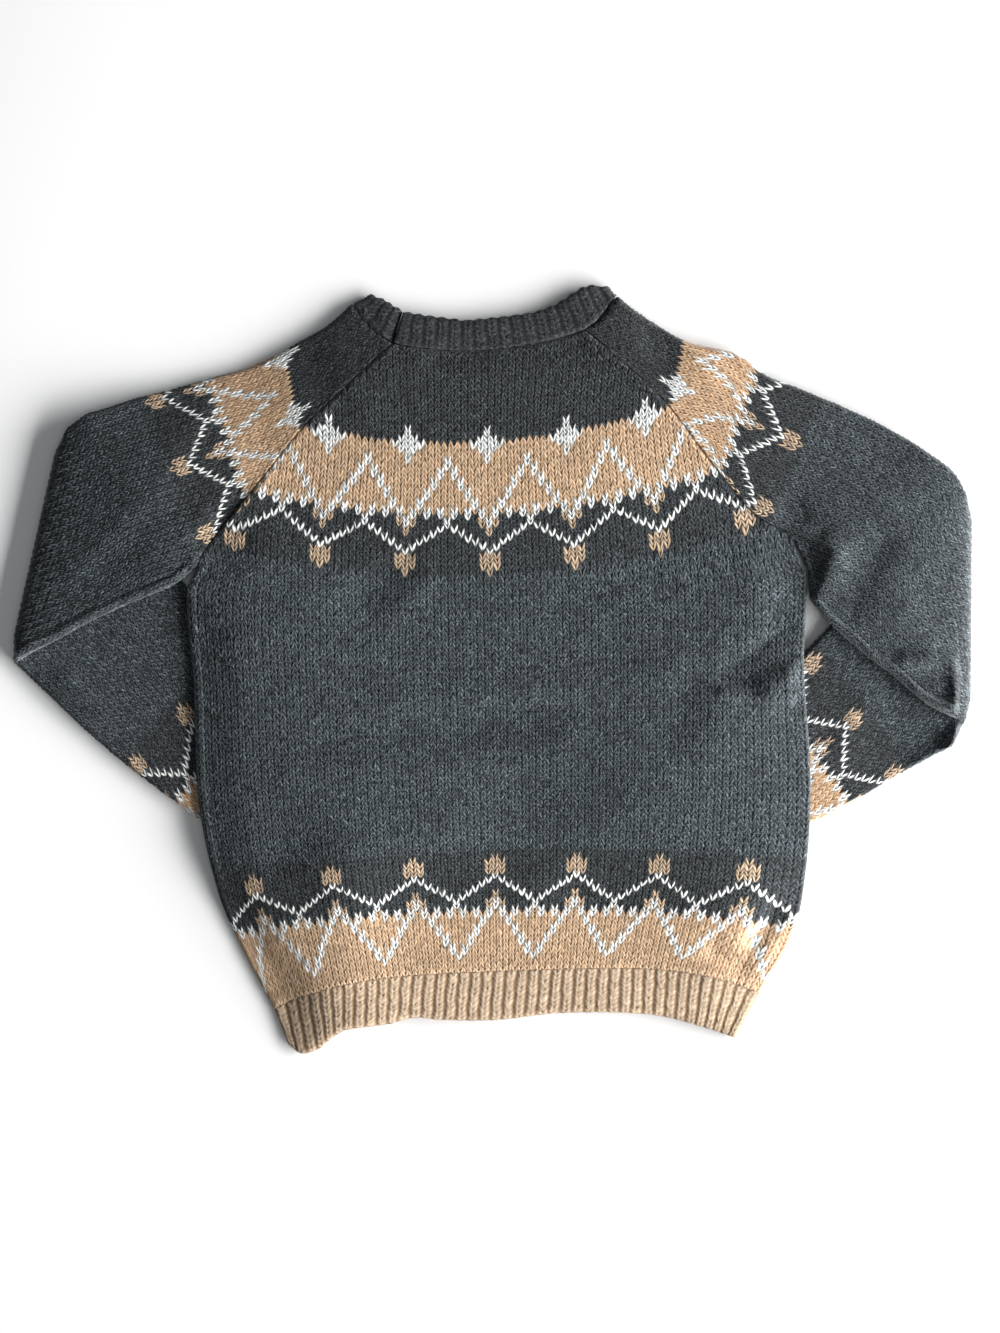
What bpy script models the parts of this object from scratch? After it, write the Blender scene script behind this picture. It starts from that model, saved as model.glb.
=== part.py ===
"""Child's raglan jumper in a stranded colour pattern, laid flat with its back up.

The body is two knitted panels, front below and back above, each with a ribbed hem. The sleeves are
flat tubes that leave the body at the raglan seams, turn under at the elbow and run back below the
body to their ribbed cuffs. A ribbed neckband goes round the neck and is joined at the left back
raglan. Every piece is a wall of knitted cloth. Lengths are in millimetres, +X to the right and +Y
to the neck as the jumper is seen from above, and the surface that it lies on is Z = 0.
"""

import math
from collections import namedtuple

import bmesh
import bpy
from mathutils import Vector

MM = 0.001

# ---- driving sizes ----
WALL = 2.6  # thickness of the knitted cloth
GAP = 0.3  # between two pieces, or two layers of one piece
LAYERS = 2 * WALL + GAP  # two walls lying on each other
AIR = 2.2  # how far the upper wall stands off the lower one in the middle of a panel
ROUND = 2.4  # radius of the cloth's edges
SIDE_FADE = 34.0  # distance from an edge at which the upper wall has risen fully
HINGE_Z = LAYERS + GAP / 2  # height of the line about which a sleeve turns under
FOLD_STEPS = 5
FOLD_END, FOLD_TAPER = 0.45, 8  # narrower by this share at each end of its line, over an eighth of it
BED_RAMP = 24.0  # cloth that crosses a forearm comes down to the surface over this distance
BED_MARGIN = 11.0  # and starts to do so at this distance from it

BODY_WIDTH = 370.0
HEM_DEPTH = 28.0
NECK_DEPTH = 19.0
HEM_GAP = 0.08  # in courses, at the seam between a panel and its hem
PANEL_COLUMNS, BODY_ROWS, YOKE_ROWS = 23, 16, 10

RIB_DEPTH = 0.9
RIB_POINTS = ((0.0, 0.0), (0.3, 1.0), (0.7, 1.0))  # place in one rib, share of its height
HEM_RIBS = 42
NECK_RIBS = 48
CUFF_RIBS = 11  # on the side of the cuff that faces up
NECK_STEPS = 6  # between two rows of the neckband's table
TURN_STEPS = 4  # where it turns over a shoulder
ARC_STEPS = 4  # on each rounded edge of a sleeve's flat tube
NECK_SHARE = 6 / 7  # share of a sleeve's start that lies on the raglan, the rest is on the neckband

RAGLAN_COURSE = 77  # the course at which the raglan seams start
BACK_COURSES = 128
FRONT_COURSES = 121

# Courses of the body: where each meets the left and right edge, how far its middle lies above the
# straight line between them, and how flat that bow is.
Course = namedtuple("Course", "number left_x left_y right_x right_y bow flatness")
COURSES = (
    Course(0, -131, -205, 159, -196, 19, 4.0),
    Course(12, -153, -163, 179, -160, 13, 3.0),
    Course(24, -165, -133, 188, -124, 11.5, 2.2),
    Course(40, -176, -79, 191, -67, 3, 2.0),
    Course(60, -179, -8, 187, 3, -8, 2.0),
    Course(72, -183, 46, 189, 47, -22, 2.0),
    Course(77, -176, 62, 188, 62, -22, 2.0),
    Course(80, -173, 69, 179, 79, -26, 2.0),
    Course(84, -166, 79, 159, 91, -22, 2.0),
    Course(97, -139, 112, 131, 124, -19, 2.0),
    Course(109, -113, 145, 106, 157, -15, 2.0),
    Course(118, -88, 169, 86, 177, -11, 2.0),
    Course(128, -60, 195, 56, 203, -8, 2.0),
)
FRONT_TOP = Course(FRONT_COURSES, -74, 190, 72, 194, -34, 2.6)  # the scooped front neckline

# The hem's lower edge, left to right.
Point = namedtuple("Point", "x y")
HEM_EDGE = (
    Point(-115, -232),
    Point(-102, -227),
    Point(-88, -216),
    Point(-47, -210),
    Point(5, -211),
    Point(41, -207),
    Point(95, -208),
    Point(125, -215),
    Point(146, -222),
)

# The neckband, from its join at the left back raglan, along the back, over the right shoulder,
# along the front and over the left shoulder to the join again. Its seam is at a share across the
# panel that it meets, or on a sleeve at a point. The edge is the upper one.
Neck = namedtuple("Neck", "layer across seam_x seam_y edge_x edge_y")
NECKBAND = (
    Neck("back", 0.01, None, None, -52, 214),
    Neck("back", 0.17, None, None, -39, 212),
    Neck("back", 0.38, None, None, -16, 209),
    Neck("back", 0.62, None, None, 9, 211.5),
    Neck("back", 0.78, None, None, 26, 214),
    Neck("back", 0.91, None, None, 39, 219),
    Neck("back", 1.0, None, None, 48, 225),
    Neck("back", None, 63, 208, 56, 229.5),
    Neck("back", None, 70, 217, 62, 232),
    Neck("back", None, 75, 224, 69, 231),
    Neck("front", None, 75, 224, 69, 231),
    Neck("front", None, 74, 211, 64, 220),
    Neck("front", 1.0, None, None, 55, 204),
    Neck("front", 0.82, None, None, 36, 187),
    Neck("front", 0.49, None, None, -2, 178),
    Neck("front", 0.15, None, None, -42, 187),
    Neck("front", 0.0, None, None, -58, 202),
    Neck("front", None, -80, 206, -66, 215),
    Neck("front", None, -84, 219, -72, 226),
    Neck("back", None, -84, 219, -72, 226),
    Neck("back", None, -78, 210, -66, 223),
    Neck("back", None, -69, 201, -60, 219),
    Neck("back", None, -61, 196, -54, 215),
)

# Each sleeve: the raglan side it leaves, the edge under the arm, the edge at the shoulder, the line
# it folds about and the courses of its forearm, from the fold to the end of the cuff.
Forearm = namedtuple("Forearm", "outer_x outer_y inner_x inner_y")
Sleeve = namedtuple("Sleeve", "side armpit underarm shoulder neck_back neck_front hinge forearm cuff")
LEFT_SLEEVE = Sleeve(
    side="left",
    armpit=(Point(-177.5, 60.5),),
    underarm=(
        Point(-177.5, 60.5),
        Point(-190, 50),
        Point(-216, 39),
        Point(-242, 27),
        Point(-265, 14),
        Point(-285.5, 3),
    ),
    shoulder=(
        Point(-84, 219),
        Point(-99, 206),
        Point(-118, 195),
        Point(-145, 181),
        Point(-167, 175),
        Point(-187, 169),
        Point(-210, 163),
        Point(-228, 157),
        Point(-242, 152),
        Point(-254, 143),
    ),
    neck_back=(Point(-69, 201), Point(-78, 210)),
    neck_front=(Point(-80, 206),),
    hinge=(Point(-285.5, 3), Point(-271, 72), Point(-254, 143)),
    forearm=(
        Forearm(-285.5, 3, -254, 143),
        Forearm(-268, -15, -231, 109),
        Forearm(-247, -35, -205, 73),
        Forearm(-218, -60, -154, 17),
        Forearm(-180, -88, -124, -26),
        Forearm(-158, -103, -107, -48),
    ),
    cuff=(Forearm(-158, -103, -107, -48), Forearm(-134, -120, -88, -69)),
)
RIGHT_SLEEVE = Sleeve(
    side="right",
    armpit=(Point(190.8, 42), Point(189.7, 61)),
    underarm=(
        Point(190.8, 42),
        Point(199, 30),
        Point(222, 9),
        Point(238, -3),
        Point(258, -20),
        Point(271, -28),
        Point(282, -33),
    ),
    shoulder=(
        Point(75, 224),
        Point(85, 216),
        Point(95, 209),
        Point(118, 196),
        Point(147, 189),
        Point(165, 176),
        Point(183, 169),
        Point(205, 160),
        Point(225, 151),
        Point(242, 142),
        Point(261, 130),
        Point(276, 117),
        Point(283, 104),
    ),
    neck_back=(Point(63, 208), Point(70, 217)),
    neck_front=(Point(74, 211),),
    hinge=(Point(282, -33), Point(281.7, 41), Point(283, 104)),
    forearm=(
        Forearm(282, -33, 283, 104),
        Forearm(276, -46, 262, 86),
        Forearm(266, -52, 236, 61),
        Forearm(243, -65, 190, 12),
        Forearm(205, -87, 163, -12),
        Forearm(180, -97, 135, -37),
    ),
    cuff=(Forearm(180, -97, 135, -37), Forearm(154, -108, 112, -53)),
)

# Main folds: soft ridges (height above 0) and troughs (below 0) between two points.
Fold = namedtuple("Fold", "x0 y0 x1 y1 width height")
FOLDS = (
    Fold(144, 4, 184, 6, 9, -2.2),  # pinch at the right side
    Fold(118, -12, 178, -17, 9, 1.6),
    Fold(152, -170, 170, -146, 9, -2.4),  # dimple above the right end of the hem
    Fold(132, -180, 150, -188, 9, -1.6),
    Fold(211, 38, 233, 76, 13, -2.0),  # hollow across the right upper sleeve
    Fold(262, -7, 277, -14, 8, -2.2),  # dent at the right elbow
    Fold(174, 90, 190, 76, 10, -1.8),  # hollow at the right armpit
    Fold(66, 220, 100, 200, 15, 3.6),  # hump over the right shoulder
    Fold(-126, -186, -96, -220, 10, -1.4),  # the left hem corner is drawn in
    Fold(-225, 120, -200, 60, 16, -1.0),
    Fold(-100, -60, 60, -78, 22, -0.9),
    Fold(-40, 30, 90, 22, 24, 0.8),
)

CHARCOAL = (0.085, 0.098, 0.112)
SAND = (0.56, 0.37, 0.21)


# ---- curves through the tables ----
def smooth_step(x):
    x = min(1.0, max(0.0, x))
    return x * x * (3 - 2 * x)


def hermite(keys, values, at):
    """A smooth curve through values at the given rising keys."""
    last = len(keys) - 1
    i = max(0, min(last - 1, sum(key <= at for key in keys) - 1))

    def slope(k):
        low, high = max(0, k - 1), min(last, k + 1)
        return (values[high] - values[low]) / (keys[high] - keys[low])

    span = keys[i + 1] - keys[i]
    x = (at - keys[i]) / span
    return (
        (2 * x**3 - 3 * x**2 + 1) * values[i]
        + (x**3 - 2 * x**2 + x) * span * slope(i)
        + (3 * x**2 - 2 * x**3) * values[i + 1]
        + (x**3 - x**2) * span * slope(i + 1)
    )


def along(points, share):
    """The point at a share of the length of a smooth curve through points."""
    lengths = [0.0]
    for a, b in zip(points, points[1:]):
        lengths.append(lengths[-1] + math.hypot(b[0] - a[0], b[1] - a[1]))
    at = share * lengths[-1]
    return Vector(hermite(lengths, [p[k] for p in points], at) for k in (0, 1))


def straight_along(points, share):
    """The same on straight lines, which keeps the corners of a seam."""
    at = share * (len(points) - 1)
    i = min(int(at), len(points) - 2)
    a, b = Vector(points[i][:2]), Vector(points[i + 1][:2])
    return a.lerp(b, at - i)


def course_at(number, table=COURSES):
    keys = [course.number for course in table]
    return Course(number, *(hermite(keys, [c[k] for c in table], number) for k in range(1, 7)))


def body_point(u, number, table=COURSES):
    course = course_at(number, table)
    bow = course.bow * (1 - abs(2 * u - 1) ** course.flatness)
    return Vector((
        course.left_x + (course.right_x - course.left_x) * u,
        course.left_y + (course.right_y - course.left_y) * u + bow,
    ))


def front_table():
    return tuple(c for c in COURSES if c.number < FRONT_COURSES - 4) + (FRONT_TOP,)


# ---- heights ----
def outside(point, corners):
    """Distance of a point outside a convex outline, negative inside it."""
    centre = sum((Vector(c) for c in corners), Vector((0, 0))) / len(corners)
    furthest = -math.inf
    for a, b in zip(corners, corners[1:] + corners[:1]):
        side = Vector(b) - Vector(a)
        normal = Vector((side.y, -side.x)).normalized()
        if normal.dot(centre - Vector(a)) > 0:
            normal = -normal
        furthest = max(furthest, normal.dot(point - Vector(a)))
    return furthest


def forearm_corners(sleeve):
    fold, elbow, crossing = sleeve.forearm[0], sleeve.forearm[-3], sleeve.forearm[-2]
    wrist = sleeve.cuff[1]
    return [
        (fold.outer_x, fold.outer_y),
        (crossing.outer_x, crossing.outer_y),
        (wrist.outer_x, wrist.outer_y),
        (wrist.inner_x, wrist.inner_y),
        (elbow.inner_x, elbow.inner_y),
        (fold.inner_x, fold.inner_y),
    ]


FOREARMS = [forearm_corners(sleeve) for sleeve in (LEFT_SLEEVE, RIGHT_SLEEVE)]


def bed(point):
    """Height of the surface, or of the forearm on it, that the cloth above lies on."""
    nearest = min(outside(point, corners) for corners in FOREARMS)
    return (LAYERS + GAP) * smooth_step(1 - (nearest - BED_MARGIN) / BED_RAMP)


def folds(point):
    total = 0.0
    for fold in FOLDS:
        start, end = Vector((fold.x0, fold.y0)), Vector((fold.x1, fold.y1))
        run = end - start
        share = min(1.0, max(0.0, (point - start).dot(run) / run.length_squared))
        distance = (point - start - run * share).length
        total += fold.height * math.exp(-((distance / fold.width) ** 2))
    return total


def air(point, fade):
    """Room between the upper and the lower wall."""
    return max(0.0, AIR * fade + folds(point) * min(1.0, 2.5 * fade))


def edge_drop(distance):
    """How far a rounded edge lies below the face, at a distance from the edge."""
    inside = max(0.0, ROUND - distance)
    return ROUND - math.sqrt(ROUND * ROUND - inside * inside)


def raglan_share(number):
    """0 below the armpit, 1 at the neck."""
    share = (number - RAGLAN_COURSE) / (BACK_COURSES - RAGLAN_COURSE)
    return min(1.0, max(0.0, share))


def seam_fade(t):
    """How far the sleeve's upper wall has risen, at t from the underarm edge to the shoulder."""
    return smooth_step(min(t, 1 - t) * 3.2)


# ---- solids ----
def finished(name, bm, colour):
    """A mesh object from a closed bmesh in millimetres, in its own material."""
    bmesh.ops.scale(bm, vec=(MM, MM, MM), verts=bm.verts)
    bmesh.ops.recalc_face_normals(bm, faces=bm.faces)
    mesh = bpy.data.meshes.new(name)
    bm.to_mesh(mesh)
    bm.free()
    mesh.shade_smooth()
    material = bpy.data.materials.new(name + "_knit")
    material.use_nodes = True
    shader = material.node_tree.nodes["Principled BSDF"]
    shader.inputs["Base Color"].default_value = (*colour, 1)
    shader.inputs["Roughness"].default_value = 0.95
    shader.inputs["Metallic"].default_value = 0.0
    mesh.materials.append(material)
    obj = bpy.data.objects.new(name, mesh)
    COLLECTION.objects.link(obj)
    return obj


def sheet_wall(name, columns, rows, upper, lower, colour):
    """A panel of cloth: a grid on its upper face, extruded to its lower one."""
    bm = bmesh.new()
    bmesh.ops.create_grid(bm, x_segments=len(columns) - 1, y_segments=len(rows) - 1, size=0.5)
    made = bmesh.ops.extrude_face_region(bm, geom=bm.faces[:])
    raised = {vert for vert in made["geom"] if isinstance(vert, bmesh.types.BMVert)}
    for vert in bm.verts:
        column = columns[round((vert.co.x + 0.5) * (len(columns) - 1))]
        row = rows[round((vert.co.y + 0.5) * (len(rows) - 1))]
        vert.co = upper(column, row) if vert in raised else lower(column, row)
    return finished(name, bm, colour)


def tube_wall(name, around, stations, outer, inner, colour):
    """A tube of cloth: one grid that runs down its outside and back up its inside, closed both ways."""
    loops = [(outer, s) for s in stations] + [(inner, s) for s in reversed(stations)]
    bm = bmesh.new()
    bmesh.ops.create_grid(bm, x_segments=around, y_segments=len(loops), size=0.5)
    for vert in bm.verts:
        column = round((vert.co.x + 0.5) * around) % around
        face, station = loops[round((vert.co.y + 0.5) * len(loops)) % len(loops)]
        vert.co = face(column, station)
    bmesh.ops.remove_doubles(bm, verts=bm.verts, dist=1e-5)
    return finished(name, bm, colour)


def spread(count, width, start_round=True, end_round=True):
    """Places from 0 to 1 across a width, closer together where an edge is rounded."""
    near = [0.0, 0.3 * ROUND / width, ROUND / width]
    low = near if start_round else [0.0]
    high = [1 - x for x in reversed(near)] if end_round else [1.0]
    span = high[0] - low[-1]
    return low[:-1] + [low[-1] + span * k / count for k in range(count)] + high


def steps(count):
    return [k / count for k in range(count + 1)]


def rib_places(ribs):
    """Places across a ribbed band, and the share of the rib's height at each."""
    places = [((rib + at) / ribs, raised) for rib in range(ribs) for at, raised in RIB_POINTS]
    return places + [(1.0, 0.0)]


# ---- body ----
def side_distance(u, number):
    course = course_at(number)
    return min(u, 1 - u) * (course.right_x - course.left_x)


def body_fade(u, number):
    """How far the back has risen off the front. Along the raglans it agrees with the sleeves."""
    at_edge = seam_fade(0.857 * raglan_share(number))
    inside = smooth_step(side_distance(u, number) / SIDE_FADE)
    return at_edge + (1 - at_edge) * inside


def side_drop(u, number):
    """The sides are rounded below the armpits, and joined to the sleeves above them."""
    free = smooth_step((RAGLAN_COURSE + 1 - number) / 3)
    return free * edge_drop(side_distance(u, number))


def back_base(point, fade):
    return bed(point) + WALL + GAP + air(point, fade)


def panel_rows(top):
    """Courses of the panels' grids. Back and front share them, so that they lie on each other."""
    body = [RAGLAN_COURSE * k / BODY_ROWS for k in range(1, BODY_ROWS)]
    return [HEM_GAP, *body, RAGLAN_COURSE, *yoke_rows(top)]


def yoke_rows(top):
    step = (BACK_COURSES - RAGLAN_COURSE) / YOKE_ROWS
    rows = [RAGLAN_COURSE + step * k for k in range(1, YOKE_ROWS)]
    return [row for row in rows if row < top - step / 3] + [top]


def build_back():
    def lower(u, number):
        point = body_point(u, number)
        return Vector((*point, back_base(point, body_fade(u, number))))

    def upper(u, number):
        place = lower(u, number)
        place.z += WALL - side_drop(u, number)
        return place

    rows = panel_rows(BACK_COURSES)
    sheet_wall("back", spread(PANEL_COLUMNS, BODY_WIDTH), rows, upper, lower, CHARCOAL)


def build_front():
    table = front_table()

    def lower(u, number):
        point = body_point(u, number, table)
        return Vector((*point, bed(point) + side_drop(u, number)))

    def upper(u, number):
        point = body_point(u, number, table)
        return Vector((*point, bed(point) + WALL))

    rows = panel_rows(FRONT_COURSES)
    sheet_wall("front", spread(PANEL_COLUMNS, BODY_WIDTH), rows, upper, lower, CHARCOAL)


def hem_point(u, v):
    """From the seam with the body at v = 0 to the hem's edge at v = 1."""
    return body_point(u, 0).lerp(along(HEM_EDGE, u), v)


def build_back_hem():
    raised = dict(rib_places(HEM_RIBS))

    def lower(u, v):
        point = hem_point(u, v)
        fade = body_fade(u, 0) * (1 - 0.7 * v)
        return Vector((*point, back_base(point, fade)))

    def upper(u, v):
        place = lower(u, v)
        drop = max(edge_drop((1 - v) * HEM_DEPTH), side_drop(u, 0))
        groove = RIB_DEPTH * (1 - raised[u]) * smooth_step(v * 6)
        place.z += WALL - max(drop, groove)
        return place

    rows = [0.0, 0.18, 1 - ROUND / HEM_DEPTH, 1.0]
    sheet_wall("back_hem_rib", list(raised), rows, upper, lower, SAND)


def build_front_hem():
    """It rests on the surface, so its lower face is plain."""

    def lower(u, v):
        point = hem_point(u, v)
        drop = max(edge_drop((1 - v) * HEM_DEPTH), side_drop(u, 0))
        return Vector((*point, bed(point) + drop))

    def upper(u, v):
        point = hem_point(u, v)
        return Vector((*point, bed(point) + WALL))

    rows = [0.0, 0.5, 1 - ROUND / HEM_DEPTH, 1.0]
    sheet_wall("front_hem_rib", spread(28, 300), rows, upper, lower, SAND)


# ---- neckband ----
def outward(line, point):
    """The direction square to a line in plan that leads away from the body."""
    normal = Vector((line.y, -line.x)).normalized()
    return normal if normal.x * point.x > 0 else -normal


def neckline(share, layer):
    """The panel's neckline, on the straight runs of its grid."""
    table, top = (COURSES, BACK_COURSES) if layer == "back" else (front_table(), FRONT_COURSES)
    columns = spread(PANEL_COLUMNS, BODY_WIDTH)
    i = max(0, min(len(columns) - 2, sum(column <= share for column in columns) - 1))
    low, high = columns[i], columns[i + 1]
    points = [body_point(column, top, table) for column in (low, high)]
    return points[0].lerp(points[1], (share - low) / (high - low))


def neck_seam(row):
    if row.across is None:
        return Vector((row.seam_x, row.seam_y))
    return neckline(row.across, row.layer)


def neck_path():
    """Stations of the neckband, each with its seam and edge in plan, mid-wall height and normal."""
    path = []
    mid_wall = {"back": LAYERS - WALL / 2, "front": WALL / 2}
    radius = (mid_wall["back"] - mid_wall["front"]) / 2
    for here, after in zip(NECKBAND, NECKBAND[1:]):
        seam, edge = neck_seam(here), Vector((here.edge_x, here.edge_y))
        if here.layer != after.layer:
            out = outward(edge - seam, seam)
            for k in range(TURN_STEPS + 1):
                share = k / TURN_STEPS if here.layer == "back" else 1 - k / TURN_STEPS
                angle = math.pi * share
                normal = Vector((*(out * math.sin(angle)), math.cos(angle)))
                centre = Vector((0, 0, mid_wall["front"] + radius))
                path.append((seam, edge, centre + normal * radius, normal))
            continue
        offset = Vector((0, 0, mid_wall[here.layer]))
        normal = Vector((0, 0, 1 if here.layer == "back" else -1))
        next_seam, next_edge = neck_seam(after), Vector((after.edge_x, after.edge_y))
        for k in range(NECK_STEPS + (after is NECKBAND[-1])):
            share = k / NECK_STEPS
            between = seam.lerp(next_seam, share)
            if None not in (here.across, after.across):
                across = here.across + (after.across - here.across) * share
                between = neckline(across, here.layer)
            path.append((between, edge.lerp(next_edge, share), offset, normal))
    return path


def build_neckband():
    path = neck_path()
    lengths = [0.0]
    for a, b in zip(path, path[1:]):
        step = Vector((*(b[0] + b[1] - a[0] - a[1]), 2 * (b[2].z - a[2].z))) / 2
        lengths.append(lengths[-1] + max(step.length, 1e-6))
    raised = dict(rib_places(NECK_RIBS))

    def station(u):
        at = u * lengths[-1]
        i = max(0, min(len(path) - 2, sum(length <= at for length in lengths) - 1))
        share = (at - lengths[i]) / (lengths[i + 1] - lengths[i])
        a, b = path[i], path[i + 1]
        return [x.lerp(y, share) for x, y in zip(a, b)]

    def face(u, v, out):
        seam, edge, offset, normal = station(u)
        point = seam.lerp(edge, v)
        lift = air(point, 0.9) * (1 - 0.5 * v) * max(0.0, normal.z)
        return Vector((*point, lift)) + offset + normal.normalized() * out

    def upper(u, v):
        up = max(0.0, station(u)[3].z)
        groove = RIB_DEPTH * (1 - raised[u]) * up * smooth_step(v * 6)
        drop = edge_drop((1 - v) * NECK_DEPTH)
        return face(u, v, WALL / 2 - max(groove, 0.8 * drop))

    def lower(u, v):
        return face(u, v, -WALL / 2)

    rows = [0.03, 0.2, 1 - ROUND / NECK_DEPTH, 1.0]
    sheet_wall("neckband", list(raised), rows, upper, lower, CHARCOAL)


# ---- sleeves ----
# A place round a flat tube: t across it from underarm to shoulder, the angle on a rounded edge or
# None on a flat wall, whether it is on the back wall, and how deep a groove between ribs is there.
Place = namedtuple("Place", "t angle back groove")


def section_places(back_shares, front_shares, front_ribs=0):
    places = [Place(t, None, True, 0.0) for t in back_shares]
    places += [Place(1.0, 90 - 180 * k / ARC_STEPS, True, 0.0) for k in range(ARC_STEPS + 1)]
    if front_ribs:
        grooves = [(t, RIB_DEPTH * (1 - raised)) for t, raised in rib_places(front_ribs)]
        places += [Place(t, None, False, groove) for t, groove in reversed(grooves) if 0.04 < t < 0.96]
    else:
        places += [Place(t, None, False, 0.0) for t in reversed(front_shares)]
    places += [Place(0.0, -90 + 180 * k / ARC_STEPS, True, 0.0) for k in range(ARC_STEPS + 1)]
    return places


def seam_shares(sleeve, on_back):
    """Shares across the sleeve that meet the ends of the body's rows along the raglan."""
    top = BACK_COURSES if on_back else FRONT_COURSES
    slit = slit_share(sleeve)
    shares = [(row - RAGLAN_COURSE) / (top - RAGLAN_COURSE) for row in yoke_rows(top)]
    start = [NECK_SHARE * slit * k / 3 for k in (1, 2, 3)] if slit else []
    raglan = [NECK_SHARE * (slit + (1 - slit) * share) for share in shares]
    runs = len(sleeve.neck_back if on_back else sleeve.neck_front) + 1
    neck = [NECK_SHARE + (1 - NECK_SHARE) * k / runs for k in range(1, runs)]
    return start + raglan + neck


def slit_share(sleeve):
    """Share of the raglan's length, at the armpit, where sleeve and body lie side by side unsewn."""
    return 0.3 * (len(sleeve.armpit) - 1)


def raglan_seam(sleeve, share, on_back):
    """From the armpit to the neckband, along the body's edge and the seam's gap away from it."""
    table, top = (COURSES, BACK_COURSES) if on_back else (front_table(), FRONT_COURSES)
    number = RAGLAN_COURSE + (top - RAGLAN_COURSE) * share
    edge = 0 if sleeve.side == "left" else 1
    before, seam, after = (body_point(edge, number + step, table) for step in (-1, 0, 1))
    return seam + outward(after - before, seam) * 1.2 * GAP


def sleeve_start(sleeve, t, on_back):
    """The sleeve's first edge: the raglan seam, then the seam with the neckband."""
    if t > NECK_SHARE:
        neck = sleeve.neck_back if on_back else sleeve.neck_front
        points = [raglan_seam(sleeve, 1, on_back), *neck, sleeve.shoulder[0]]
        return straight_along(points, (t - NECK_SHARE) / (1 - NECK_SHARE))
    share = t / NECK_SHARE
    slit = slit_share(sleeve)
    if share < slit:
        return Vector(sleeve.armpit[0]).lerp(Vector(sleeve.armpit[1]), share / slit)
    return raglan_seam(sleeve, (share - slit) / (1 - slit), on_back)


def upper_arm(sleeve, s, t, on_back):
    """In plan: from the sleeve's start to its hinge, bent near its two edges to follow them."""
    between = sleeve_start(sleeve, t, on_back).lerp(along(sleeve.hinge, t), s)
    low_bend = along(sleeve.underarm, s) - Vector(sleeve.underarm[0]).lerp(Vector(sleeve.hinge[0]), s)
    high_bend = along(sleeve.shoulder, s) - Vector(sleeve.shoulder[0]).lerp(Vector(sleeve.hinge[-1]), s)
    return between + low_bend * (1 - t) ** 3 + high_bend * t


def sleeve_frame(sleeve, stage, s, t, on_back):
    """A point on the front wall's outer face, and the direction from there to the back wall."""
    if stage == "upper arm":
        point = upper_arm(sleeve, s, t, on_back)
        return Vector((*point, bed(point))), Vector((0, 0, 1))
    if stage == "fold":
        point = along(sleeve.hinge, t)
        line = Vector(sleeve.hinge[-1]) - Vector(sleeve.hinge[0])
        angle = math.pi * s
        bulge = FOLD_END + (1 - FOLD_END) * smooth_step(min(t, 1 - t) * FOLD_TAPER)
        up = Vector((*(outward(line, point) * math.sin(angle) * bulge), math.cos(angle)))
        return Vector((*point, HINGE_Z)) + up * (GAP / 2), up
    table = sleeve.forearm if stage == "forearm" else sleeve.cuff
    outer = along([(row.outer_x, row.outer_y) for row in table], s)
    inner = along([(row.inner_x, row.inner_y) for row in table], s)
    return Vector((*outer.lerp(inner, t), LAYERS)), Vector((0, 0, -1))


def sleeve_point(sleeve, place, station, inset):
    """A point of the tube's outer face (inset 0) or of its inner face (inset WALL)."""
    stage, s, width = station
    half = LAYERS / 2
    if place.angle is not None:
        radius = half - inset
        angle = math.radians(place.angle)
        across = (half - radius * math.cos(angle)) / width
        t = across if place.t == 0 else 1 - across
        base, up = sleeve_frame(sleeve, stage, s, t, place.angle > 0)
        return base + up * (half + radius * math.sin(angle))
    base, up = sleeve_frame(sleeve, stage, s, place.t, place.back)
    depth = inset if inset else place.groove
    if not place.back:
        return base + up * depth
    rise = 0.0
    if stage == "upper arm":
        rise = air(base.to_2d(), seam_fade(place.t)) * smooth_step((1 - s) * 6)
    return base + up * (LAYERS + rise - depth)


def build_tube(name, sleeve, places, stations, colour):
    def outer(column, station):
        return sleeve_point(sleeve, places[column], station, 0.0)

    def inner(column, station):
        return sleeve_point(sleeve, places[column], station, WALL)

    tube_wall(name, len(places), stations, outer, inner, colour)


def build_sleeve(sleeve):
    """The sleeve from its raglan seams to its cuff, in one wall that turns under at the elbow."""
    last = 1 - GAP / 100  # share of the forearm's length that keeps the cuff's gap
    stations = [("upper arm", k / 9, 115) for k in range(10)]
    stations += [("fold", k / FOLD_STEPS, 130) for k in range(1, FOLD_STEPS + 1)]
    stations += [("forearm", 0.09 + (last - 0.09) * k / 5, 100) for k in range(6)]
    places = section_places(seam_shares(sleeve, True), seam_shares(sleeve, False))
    build_tube(sleeve.side + "_sleeve", sleeve, places, stations, CHARCOAL)


def build_cuff(sleeve):
    """It lies on the surface, so it has its ribs on the side that faces up."""
    stations = [("cuff", s, 72) for s in (0.004, 0.3, 1.0)]
    places = section_places(steps(6)[1:-1], (), front_ribs=CUFF_RIBS)
    build_tube(sleeve.side + "_cuff", sleeve, places, stations, SAND)


def clear_scene():
    for old in list(bpy.data.objects):
        bpy.data.objects.remove(old, do_unlink=True)


def build_jumper():
    build_back()
    build_front()
    build_back_hem()
    build_front_hem()
    build_neckband()
    for sleeve in (LEFT_SLEEVE, RIGHT_SLEEVE):
        build_sleeve(sleeve)
        build_cuff(sleeve)


clear_scene()
COLLECTION = bpy.data.collections.new("jumper")
bpy.context.scene.collection.children.link(COLLECTION)
build_jumper()
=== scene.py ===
import math

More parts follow.
